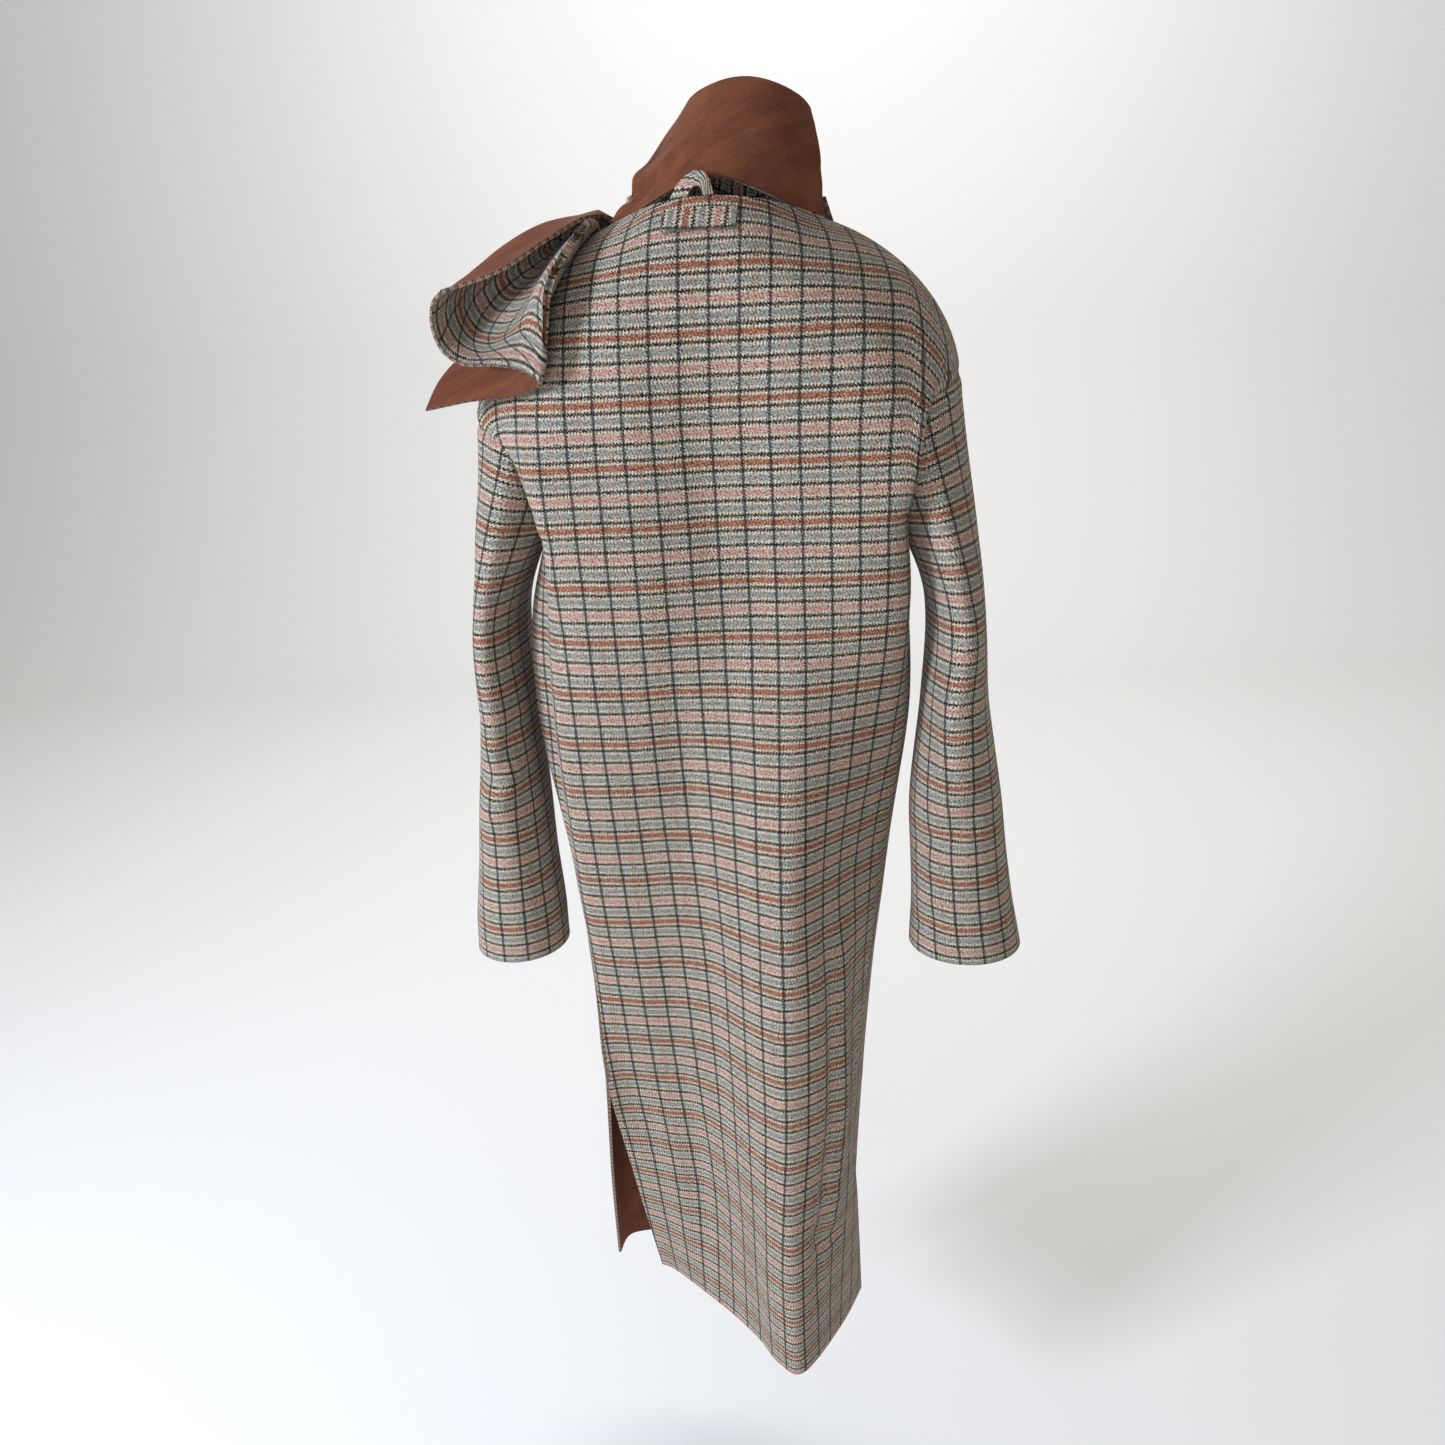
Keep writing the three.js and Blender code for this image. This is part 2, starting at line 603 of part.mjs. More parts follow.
// The stretch across the front ends in the section where the scarf's end starts.
function makeScarfFront(end) {
  const ways = [BAND_START, ...BAND_WAYS];
  const points = grid(SCARF_ACROSS, BAND_ALONG, (level, column) => {
    const share = level / SCARF_ACROSS;
    const last = end.points[level][SCARF_ALONG];
    const at = (column * ways.length) / BAND_ALONG;
    const value = (axis, k) => {
      const stops = ways.map((way) => THREE.MathUtils.lerp(way.top[k], way.bottom[k], share));
      return smooth([...stops, last[axis]], at);
    };
    return new THREE.Vector3(value("x", 0), value("y", 1), value("z", 2));
  });
  return cloth("scarf_front", points, 1);
}

function sewScarf(front, end, under) {
  const levels = [...Array(SCARF_ACROSS + 1).keys()];
  const columns = [...Array(UNDER_ALONG + 1).keys()];
  sew(
    [
      { piece: front, cells: levels.map((k) => [k, BAND_ALONG]) },
      { piece: end, cells: levels.map((k) => [k, SCARF_ALONG]) },
    ],
    [-1, 1],
    (way) => Math.sign(way.y) || 1,
  );
  sew(
    [
      { piece: end, cells: columns.map((k) => [SCARF_ACROSS, k]) },
      { piece: under, cells: columns.map((k) => [0, k]) },
    ],
    [1, -1],
    (way) => Math.sign(way.y) || 1,
  );
}

// The strip sewn flat across the nape, made from the back's own points.
function makeTab(back) {
  const reach = TAB.clear + TAB.wall;
  const cell = (level, column) => [TAB.level + level, TAB.column + column];
  const points = grid(TAB.levels, TAB.columns, (level, column) => {
    const [r, c] = cell(level, column);
    return back.points[r][c].clone().addScaledVector(back.normals[r][c], reach);
  });
  const normals = grid(TAB.levels, TAB.columns, (level, column) => {
    const [r, c] = cell(level, column);
    return back.normals[r][c].clone();
  });
  return { name: "hanger_tab", points, normals, round: false, wall: TAB.wall };
}

// The hanging loop, a strip bent over in an arch above the back neck edge.
function makeLoop(back) {
  const edge = back.points[0].slice(SHOULDER_SPANS, SHOULDER_SPANS + BACK_NECK_SPANS + 1);
  const depthAt = (x) => {
    const k = edge.findIndex((point) => point.x > x);
    const [before, after] = [edge[k - 1], edge[k]];
    return THREE.MathUtils.mapLinear(x, before.x, after.x, before.y, after.y);
  };
  const points = grid(LOOP.steps, 1, (level, column) => {
    const arch = column === 0 ? LOOP_OUTER : LOOP_INNER;
    const at = (level * arch.last) / LOOP.steps;
    const x = arch.x(at);
    return new THREE.Vector3(x, depthAt(x) + LOOP.inside, arch.z(at));
  });
  return { ...cloth("neck_loop", points, 1), wall: LOOP.wall };
}

const back = makeBack();
const frontRight = makeFront("front_right", -1, back);
const frontLeft = makeFront("front_left", 1, back);
sinkUnderlap(frontLeft);
const sleeveRight = makeSleeve("sleeve_right", -1, SLEEVE_RIGHT, back, frontRight);
const sleeveLeft = makeSleeve("sleeve_left", 1, SLEEVE_LEFT, back, frontLeft);
sewArmhole(-1, back, frontRight, sleeveRight);
sewArmhole(1, back, frontLeft, sleeveLeft);
sewBody(-1, back, frontRight);
sewBody(1, back, frontLeft);
const wrap = makeWrap(back, frontRight, frontLeft);
const scarfEnd = makeScarfEnd();
const scarfUnder = makeScarfUnder();
const scarfFront = makeScarfFront(scarfEnd);
sewScarf(scarfFront, scarfEnd, scarfUnder);

const checked = [back, frontRight, frontLeft, sleeveRight, sleeveLeft, makeTab(back), makeLoop(back)];
const rust = [wrap, scarfFront, scarfEnd, scarfUnder];
const coat = new THREE.Group();
for (const [pieces, color] of [[checked, CHECK], [rust, RUST]]) {
  for (const piece of pieces) {
    const material = new THREE.MeshStandardMaterial({ color, roughness: 0.95, metalness: 0 });
    material.side = THREE.DoubleSide;
    coat.add(wallMesh(piece, material));
  }
}

export default coat;
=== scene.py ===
"""Dresses a long double-faced wool coat: checked outside, rust-brown reverse, scarf collar.

Every shell follows the form of the solid that it replaces, and is worked out in millimetres in the
coat's own frame: +X is the wearer's left, +Y the wearer's back, +Z up, and the origin is in the
middle of the neck opening. The cloth's own measures run in its UV map, in metres of cloth.
"""

import logging
from dataclasses import dataclass, field
from enum import Enum
from typing import Any, Sequence

import bpy
import numpy as np
from mathutils import Matrix, Vector


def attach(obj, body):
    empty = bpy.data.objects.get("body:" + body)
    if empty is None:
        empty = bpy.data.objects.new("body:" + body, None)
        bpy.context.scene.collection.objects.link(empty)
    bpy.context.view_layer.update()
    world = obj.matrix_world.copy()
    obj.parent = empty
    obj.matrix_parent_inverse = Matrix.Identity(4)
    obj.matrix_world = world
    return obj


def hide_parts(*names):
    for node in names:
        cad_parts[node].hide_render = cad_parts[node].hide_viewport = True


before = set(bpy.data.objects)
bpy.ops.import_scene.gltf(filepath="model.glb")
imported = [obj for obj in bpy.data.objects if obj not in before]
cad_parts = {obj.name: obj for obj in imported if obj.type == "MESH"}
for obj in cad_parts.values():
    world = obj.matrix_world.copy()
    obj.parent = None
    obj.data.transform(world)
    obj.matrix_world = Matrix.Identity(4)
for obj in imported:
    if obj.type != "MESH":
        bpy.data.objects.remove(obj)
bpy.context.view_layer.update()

Array = np.ndarray
Point = tuple[float, float, float]

WALL = 3.2  # two woven layers bound face to face
SEAM_RIDGE_AT = 9  # mm from the stitches, where the allowances end inside
SEAM_RIDGE_WIDTH = 5
SEAM_DIP = 1.1  # mm deep at the stitches
SEAM_DIP_WIDTH = 3
UV_NAME = "cloth"
LOG = logging.getLogger("coat")


class Side(Enum):
    """The wearer's two sides, as the sign of X."""

    RIGHT = -1
    LEFT = 1


class Face(Enum):
    """Material slots of a shell of cloth."""

    OUTER = 0
    INNER = 1
    EDGE = 2


# Numbers and curves


def smooth(values: Any, at: Any) -> Array:
    """Gives Catmull-Rom values of evenly spaced rows.

    Args:
        values: The rows, along the first axis.
        at: Positions between 0 and the last row.

    Returns:
        One row of values for each position.
    """
    values, at = np.asarray(values, float), np.asarray(at, float)
    last = len(values) - 1
    low = np.clip(np.floor(at).astype(int), 0, last - 1)
    part = (at - low).reshape(at.shape + (1,) * (values.ndim - 1))
    start, end = values[low], values[low + 1]
    leave = (end - values[np.maximum(low - 1, 0)]) / 2
    arrive = (values[np.minimum(low + 2, last)] - start) / 2
    rise = end - start
    cubic = leave + arrive - 2 * rise
    return start + part * (leave + part * (3 * rise - 2 * leave - arrive + part * cubic))


def smooth_round(values: Array, at: Array) -> Array:
    """Gives Catmull-Rom values of rows that close into a ring.

    Args:
        values: The rows, without the first one again.
        at: Positions, which run round more than once if they must.

    Returns:
        One row of values for each position.
    """
    count = len(values)
    padded = np.concatenate([values[-2:], values, values[:3]])
    return smooth(padded, np.mod(at, count) + 2)


def smoothstep(value: Any, low: float, high: float) -> Array:
    """Rises softly from 0 at low to 1 at high.

    Args:
        value: What is measured.
        low: Where the rise starts.
        high: Where it ends.

    Returns:
        Shares from 0 to 1.
    """
    t = np.clip((np.asarray(value, float) - low) / (high - low), 0, 1)
    return t * t * (3 - 2 * t)


def steps(spans: float, fine: int, near: Sequence[float] = (0.06, 0.16, 0.34)) -> Array:
    """Gives even positions with extra lines close to both ends.

    Args:
        spans: The last position.
        fine: Steps within each whole span.
        near: Where the extra lines lie, in spans from an end.

    Returns:
        Rising positions from 0 to spans.
    """
    even = np.linspace(0, spans, round(spans * fine) + 1)[1:-1]
    even = even[(even > max(near) * 1.2) & (even < spans - max(near) * 1.2)]
    ends = np.array([0.0, *near])
    return np.concatenate([ends, even, spans - ends[::-1]])


def distances(points: Array, axis: int) -> Array:
    """Gives the running length along one axis of a grid of points.

    Args:
        points: Levels by columns by three.
        axis: 0 for down the levels, 1 for across the columns.

    Returns:
        The length from the first point on, for each point.
    """
    lengths = np.linalg.norm(np.diff(points, axis=axis), axis=2)
    start = np.zeros_like(np.take(lengths, [0], axis=axis))
    return np.concatenate([start, np.cumsum(lengths, axis=axis)], axis=axis)


def outward(points: Array, side: float, closed: bool = False) -> Array:
    """Gives unit normals of a grid of points.

    Args:
        points: Levels by columns by three.
        side: +1 or -1, the side of the grid that is outside.
        closed: Whether the last column is the first one again.

    Returns:
        One normal for each point.
    """
    along = np.gradient(points, axis=0)
    across = np.gradient(points, axis=1)
    if closed:
        ring = (points[:, 1] - points[:, -2]) / 2
        across[:, 0] = ring
        across[:, -1] = ring
    normal = np.cross(along, across) * side
    return normal / np.maximum(np.linalg.norm(normal, axis=2, keepdims=True), 1e-9)


def seam_relief(gap: Array, ridge: float) -> Array:
    """Gives the relief beside a pressed seam: a dip at the stitches, then a soft ridge.

    Args:
        gap: Distance from the seam, in millimetres.
        ridge: Height of the ridge, in millimetres.

    Returns:
        The lift in millimetres.
    """
    beside = ridge * np.exp(-(((gap - SEAM_RIDGE_AT) / SEAM_RIDGE_WIDTH) ** 2))
    return beside - SEAM_DIP * np.exp(-((gap / SEAM_DIP_WIDTH) ** 2))


@dataclass(frozen=True)
class Chart:
    """Rows of sizes under named columns, read as smooth curves."""

    columns: str
    rows: tuple[tuple[float, ...], ...]

    def at(self, row: Array) -> dict[str, Array]:
        """Gives each column's values at fractional rows.

        Args:
            row: Rows, counted from 0.

        Returns:
            Each column's values by its name.
        """
        values = smooth(self.rows, row)
        return {name: values[..., k] for k, name in enumerate(self.columns.split())}

    @property
    def last(self) -> int:
        """The number of the last row."""
        return len(self.rows) - 1


@dataclass(frozen=True)
class Crease:
    """A soft trough or ridge in the cloth, along a path in millimetres of cloth."""

    path: tuple[tuple[float, float], ...]
    height: float  # below 0 for a trough
    width: float

    def lift(self, across: Array, down: Array) -> Array:
        """Gives how far the crease lifts the cloth.

        Args:
            across: Place across the cloth in millimetres.
            down: Place down the cloth in millimetres.

        Returns:
            The lift at each place, fading towards both ends of the path.
        """
        nearest = np.full(across.shape, np.inf)
        share = np.zeros(across.shape)
        spans = len(self.path) - 1
        for k in range(spans):
            start, end = np.array(self.path[k], float), np.array(self.path[k + 1], float)
            way = end - start
            t = ((across - start[0]) * way[0] + (down - start[1]) * way[1]) / (way @ way)
            t = np.clip(t, 0, 1)
            gap = np.hypot(across - start[0] - t * way[0], down - start[1] - t * way[1])
            closer = gap < nearest
            nearest = np.where(closer, gap, nearest)
            share = np.where(closer, (k + t) / spans, share)
        fade = np.sin(np.pi * np.clip(share, 0, 1)) ** 0.6
        return self.height * fade * np.exp(-((nearest / self.width) ** 2))


@dataclass(frozen=True)
class Unevenness:
    """The slow swell of hanging wool, as a few waves that never repeat."""

    seed: int
    height: float = 0.9
    length: float = 150.0  # of the longest wave

    def lift(self, across: Array, down: Array) -> Array:
        """Gives the swell at each place of the cloth.

        Args:
            across: Place across the cloth in millimetres.
            down: Place down the cloth in millimetres.

        Returns:
            The swell in millimetres.
        """
        random = np.random.default_rng(self.seed)
        total = np.zeros(across.shape)
        for share in (1.0, 0.61, 0.37, 0.21):
            turn, start = random.uniform(0, 2 * np.pi, 2)
            wave = 2 * np.pi / (self.length * share)
            slant = np.cos(turn) * across + 0.55 * np.sin(turn) * down
            total += share * np.sin(wave * slant + start)
        return self.height * total / 2


# Finishes


def linear(code: str) -> tuple[float, float, float, float]:
    """Turns an sRGB hex colour into linear red, green, blue and alpha.

    Args:
        code: The colour, as # and six hex digits.

    Returns:
        Linear shares from 0 to 1, with an alpha of 1.
    """
    values = [int(code[k : k + 2], 16) / 255 for k in (1, 3, 5)]
    low, high = 0.04045, 2.4
    parts = [v / 12.92 if v <= low else ((v + 0.055) / 1.055) ** high for v in values]
    return (*parts, 1.0)


def add(material: bpy.types.Material, kind: str, links: dict[Any, Any], **settings: Any) -> Any:
    """Adds a node with its settings and what its inputs take.

    Args:
        material: The material whose tree gets the node.
        kind: The node's type.
        links: Input name or number to a socket or a value.
        settings: Attributes of the node.

    Returns:
        The new node.
    """
    tree = material.node_tree
    node = tree.nodes.new(kind)
    for name, value in settings.items():
        setattr(node, name, value)
    for name, value in links.items():
        if isinstance(value, bpy.types.NodeSocket):
            tree.links.new(value, node.inputs[name])
        else:
            node.inputs[name].default_value = value
    return node


def math_of(material: bpy.types.Material, operation: str, *values: Any) -> Any:
    """Adds a sum of one to three values and gives its result.

    Args:
        material: The material whose tree gets the node.
        operation: The node's operation.
        values: Sockets or numbers.

    Returns:
        The node's result.
    """
    node = add(material, "ShaderNodeMath", dict(enumerate(values)), operation=operation)
    return node.outputs[0]


def mixed(material: bpy.types.Material, share: Any, low: Any, high: Any, blend: str = "MIX") -> Any:
    """Adds a mix of two colours and gives its colour.

    Args:
        material: The material whose tree gets the mix.
        share: Share of the second colour.
        low: The first colour.
        high: The second colour.
        blend: How they are mixed.

    Returns:
        The mixed colour.
    """
    node = add(
        material,
        "ShaderNodeMix",
        {"Factor": share},
        data_type="RGBA",
        blend_type=blend,
    )
    for socket, value in ((node.inputs[6], low), (node.inputs[7], high)):
        if isinstance(value, bpy.types.NodeSocket):
            material.node_tree.links.new(value, socket)
        else:
            socket.default_value = value
    return node.outputs[2]


def banded(material: bpy.types.Material, place: Any, bands: Sequence[tuple[float, str]]) -> Any:
    """Adds bands of flat colour.

    Args:
        material: The material whose tree gets the bands.
        place: Share of the way through the repeat.
        bands: Where each band starts in the repeat, and its colour.

    Returns:
        The colour at that place.
    """
    node = add(material, "ShaderNodeValToRGB", {"Fac": place})
    ramp = node.color_ramp
    ramp.interpolation = "CONSTANT"
    for k, (start, code) in enumerate(bands):
        stop = ramp.elements[k] if k < 2 else ramp.elements.new(start)
        stop.position = start
        stop.color = linear(code)
    return node.outputs["Color"]


def new_material(name: str) -> bpy.types.Material:
    """Makes an empty node material.

    Args:
        name: What the finish is in the real cloth.

    Returns:
        The material.
    """
    material = bpy.data.materials.new(name)
    material.use_nodes = True
    material.node_tree.nodes.clear()
    return material


def cloth_place(material: bpy.types.Material) -> tuple[Any, Any, Any]:
    """Gives the place on the cloth: across and down in millimetres, and both as one vector.

    Args:
        material: The material whose tree gets the nodes.

    Returns:
        Across, down, and the vector.
    """
    uv = add(material, "ShaderNodeUVMap", {}, uv_map=UV_NAME)
    scaled = add(
        material,
        "ShaderNodeVectorMath",
        {0: uv.outputs[0], 1: (1000, 1000, 1000)},
        operation="MULTIPLY",
    )
    parts = add(material, "ShaderNodeSeparateXYZ", {0: scaled.outputs[0]})
    return parts.outputs["X"], parts.outputs["Y"], scaled.outputs[0]


def noise(material: bpy.types.Material, place: Any, size: float, detail: float = 2.0) -> Any:
    """Adds cloudy noise whose spots are about size millimetres across.

    Args:
        material: The material whose tree gets the noise.
        place: The place on the cloth, in millimetres.
        size: Size of the spots, in millimetres.
        detail: How many finer layers lie in them.

    Returns:
        A value from 0 to 1.
    """
    node = add(
        material,
        "ShaderNodeTexNoise",
        {"Vector": place, "Scale": 1 / size, "Detail": detail, "Roughness": 0.55},
    )
    return node.outputs["Fac"]


@dataclass(frozen=True)
class WoolSurface:
    """How raised wool takes the light: matt, with a soft glow where the nap is seen edge on."""

    roughness: float = 0.92
    ior: float = 1.54  # keratin
    specular: float = 0.18
    sheen: float = 0.12
    sheen_roughness: float = 0.4
    sheen_tint: str = "#d8d2cc"

    def finish(self, material: bpy.types.Material, colour: Any, height: Any, depth: float) -> None:
        """Ends a wool material.

        Args:
            material: The material.
            colour: The cloth's colour.
            height: Relief of threads and nap, from 0 to 1.
            depth: That relief in metres.
        """
        bump = add(
            material,
            "ShaderNodeBump",
            {"Height": height, "Strength": 0.7, "Distance": depth},
        )
        shader = add(
            material,
            "ShaderNodeBsdfPrincipled",
            {
                "Base Color": colour,
                "Roughness": self.roughness,
                "IOR": self.ior,
                "Specular IOR Level": self.specular,
                "Sheen Weight": self.sheen,
                "Sheen Roughness": self.sheen_roughness,
                "Sheen Tint": linear(self.sheen_tint),
                "Normal": bump.outputs[0],
            },
        )
        add(material, "ShaderNodeOutputMaterial", {"Surface": shader.outputs[0]})


@dataclass(frozen=True)
class CheckCoating:
    """Twill-woven and milled wool coating: weft bands with jagged edges over thin warp lines."""

    # To the eye: matt, each band's edge broken by the twill and softened by the milled nap.

    name: str = "wool_twill_check_milled"
    repeat: float = 51.8  # mm of cloth from one rust band to the next
    first: float = 37.9  # mm down the cloth to the middle of a rust band
    black: str = "#0f0f0e"
    cream: str = "#b4aa96"
    grey: str = "#7a7c77"
    rust: str = "#85492f"
    pink: str = "#a87d72"
    dark_line: float = 3.2  # mm as set; it renders thinner than the real line
    cream_line: float = 2.1  # mm, on both sides of a band
    warp_step: float = 24.6  # mm between dark warp lines
    warp_line: float = 2.6  # mm
    twill: float = 2.9  # mm between two teeth of a band's edge, as measured
    tooth: float = 1.9  # mm deep
    surface: WoolSurface = field(default_factory=WoolSurface)

    def bands(self) -> list[tuple[float, str]]:
        """Gives the repeat's bands: rust, grey, pink and grey, with black between them.

        Returns:
            Where each band starts, as a share of the repeat, and its colour.
        """
        quarter = self.repeat / 4
        stripe = quarter - self.dark_line
        rows: list[tuple[float, str]] = []
        for k, middle in enumerate((self.rust, self.grey, self.pink, self.grey)):
            start = k * quarter
            rows += [
                (start, self.cream),
                (start + self.cream_line, middle),
                (start + stripe - self.cream_line, self.cream),
                (start + stripe, self.black),
            ]
        return [(start / self.repeat, code) for start, code in rows]

    def build(self) -> bpy.types.Material:
        """Builds the check.

        Returns:
            The material.
        """
        m = new_material(self.name)
        across, down, place = cloth_place(m)
        # the twill's slanting floats make a saw edge on every band
        slant = math_of(m, "ADD", across, math_of(m, "MULTIPLY", down, 0.35))
        tooth = math_of(m, "PINGPONG", slant, self.twill / 2)
        tooth = math_of(m, "MULTIPLY", tooth, 2 * self.tooth / self.twill)
        fuzz = math_of(m, "MULTIPLY", noise(m, place, 3.0), 1.8)
        drift = math_of(m, "MULTIPLY", noise(m, place, 60.0, 1.0), 1.6)
        moved = math_of(m, "ADD", math_of(m, "ADD", down, tooth), math_of(m, "ADD", fuzz, drift))
        stripe = self.repeat / 4 - self.dark_line
        start = self.first - stripe / 2 + self.tooth / 2 + 1.7
        turn = math_of(m, "DIVIDE", math_of(m, "SUBTRACT", moved, start), self.repeat)
        weft = banded(m, math_of(m, "FRACT", turn), self.bands())

        # milled fibres of the cream ground lie over the bands, drawn coarser than the real ones
        speck = noise(m, place, 1.5, 3.0)
        over = math_of(m, "GREATER_THAN", speck, 0.53)
        weft = mixed(m, math_of(m, "MULTIPLY", over, 0.34), weft, linear(self.cream))
        under = math_of(m, "GREATER_THAN", noise(m, place, 1.9, 2.0), 0.56)
        weft = mixed(m, math_of(m, "MULTIPLY", under, 0.62), weft, linear(self.black))

        # warp lines: a thin dark one, and half way a faint one that takes turns in two colours
        rise = math_of(m, "PINGPONG", math_of(m, "ADD", down, across), self.twill / 2)
        wavy = math_of(m, "ADD", across, math_of(m, "ADD", fuzz, rise))
        warp = math_of(m, "FRACT", math_of(m, "DIVIDE", wavy, self.warp_step))
        off = math_of(m, "ABSOLUTE", math_of(m, "SUBTRACT", warp, 0.5))
        share = self.warp_line / self.warp_step / 2
        dark = math_of(m, "GREATER_THAN", off, 0.5 - share)
        pale = math_of(m, "LESS_THAN", off, share * 2)
        pair = math_of(m, "FRACT", math_of(m, "DIVIDE", wavy, self.warp_step * 2))
        tone = mixed(m, math_of(m, "GREATER_THAN", pair, 0.5), linear(self.rust), linear(self.pink))
        colour = mixed(m, math_of(m, "MULTIPLY", pale, 0.14), weft, tone)
        colour = mixed(m, math_of(m, "MULTIPLY", dark, 0.8), colour, linear(self.black))

        light = math_of(m, "ADD", math_of(m, "MULTIPLY", speck, 1.7), 0.14)
        colour = mixed(m, 1.0, colour, mono(m, light), "MULTIPLY")
        height = math_of(m, "ADD", speck, math_of(m, "MULTIPLY", tooth, 0.35))
        self.surface.finish(m, colour, height, 0.0007)
        return m


def mono(material: bpy.types.Material, value: Any) -> Any:
    """Turns a value into a grey colour.

    Args:
        material: The material whose tree gets the node.
        value: The value.

    Returns:
        The grey.
    """
    node = add(material, "ShaderNodeCombineColor", {0: value, 1: value, 2: value})
    return node.outputs[0]


@dataclass(frozen=True)
class RustCoating:
    """Plain-dyed wool, raised and brushed one way."""

    # To the eye: no weave shows, the tone is cloudy, and folds glow warm where the nap is seen edge on.

    name: str = "wool_plain_raised_rust"
    deep: str = "#3d2114"
    bright: str = "#804a33"
    surface: WoolSurface = WoolSurface(sheen=0.2, sheen_tint="#e0a88a", roughness=0.95)

    def build(self) -> bpy.types.Material:
        """Builds the plain reverse.

        Returns:
            The material.
        """
        m = new_material(self.name)
        _, _, place = cloth_place(m)
        brushed = add(m, "ShaderNodeMapping", {"Vector": place, "Scale": (1.0, 0.55, 1.0)})
        cloud = noise(m, place, 26.0, 3.0)
        streak = math_of(m, "MULTIPLY", noise(m, brushed.outputs[0], 1.5, 3.0), 0.7)
        share = math_of(m, "SUBTRACT", math_of(m, "ADD", cloud, streak), 0.35)
        colour = mixed(m, share, linear(self.deep), linear(self.bright))
        height = noise(m, brushed.outputs[0], 1.4, 5.0)
        self.surface.finish(m, colour, height, 0.0006)
        return m


@dataclass(frozen=True)
class TurnedEdge:
    """The edge of double-faced wool, turned in and sewn by hand."""

    # To the eye: a soft roll, with the check's threads turning over it in short dashes.

    name: str = "wool_turned_edge"
    dash: float = 2.6  # mm along the edge
    cream: str = "#8e8271"
    dark: str = "#37302b"
    rust: str = "#7d5340"
    surface: WoolSurface = field(default_factory=WoolSurface)

    def build(self) -> bpy.types.Material:
        """Builds the edge.

        Returns:
            The material.
        """
        m = new_material(self.name)
        across, _, place = cloth_place(m)
        wavy = math_of(m, "ADD", across, math_of(m, "MULTIPLY", noise(m, place, 3.0), 2.5))
        turn = math_of(m, "FRACT", math_of(m, "DIVIDE", wavy, self.dash * 3))
        rows = [(0.0, self.cream), (0.2, self.dark), (0.36, self.rust), (0.6, self.dark)]
        rows += [(0.7, self.cream), (0.88, self.rust)]
        colour = banded(m, turn, rows)
        self.surface.finish(m, colour, noise(m, place, 1.4, 4.0), 0.0006)
        return m


@dataclass(frozen=True)
class PaleFloor:
    """Studio floor board, rolled with matt emulsion."""

    # To the eye: even and without gloss, so that it only takes soft shadows.

    name: str = "floor_paint_matt"
    colour: str = "#e4e3e1"

    def build(self) -> bpy.types.Material:
        """Builds the floor paint.

        Returns:
            The material.
        """
        m = new_material(self.name)
        shader = add(
            m,
            "ShaderNodeBsdfPrincipled",
            {"Base Color": linear(self.colour), "Roughness": 0.9, "Specular IOR Level": 0.1},
        )
        add(m, "ShaderNodeOutputMaterial", {"Surface": shader.outputs[0]})
        return m


@dataclass
class Wardrobe:
    """The coat's three finishes, built once."""

    check: bpy.types.Material = field(default_factory=lambda: CheckCoating().build())
    rust: bpy.types.Material = field(default_factory=lambda: RustCoating().build())
    edge: bpy.types.Material = field(default_factory=lambda: TurnedEdge().build())


# Shells of cloth


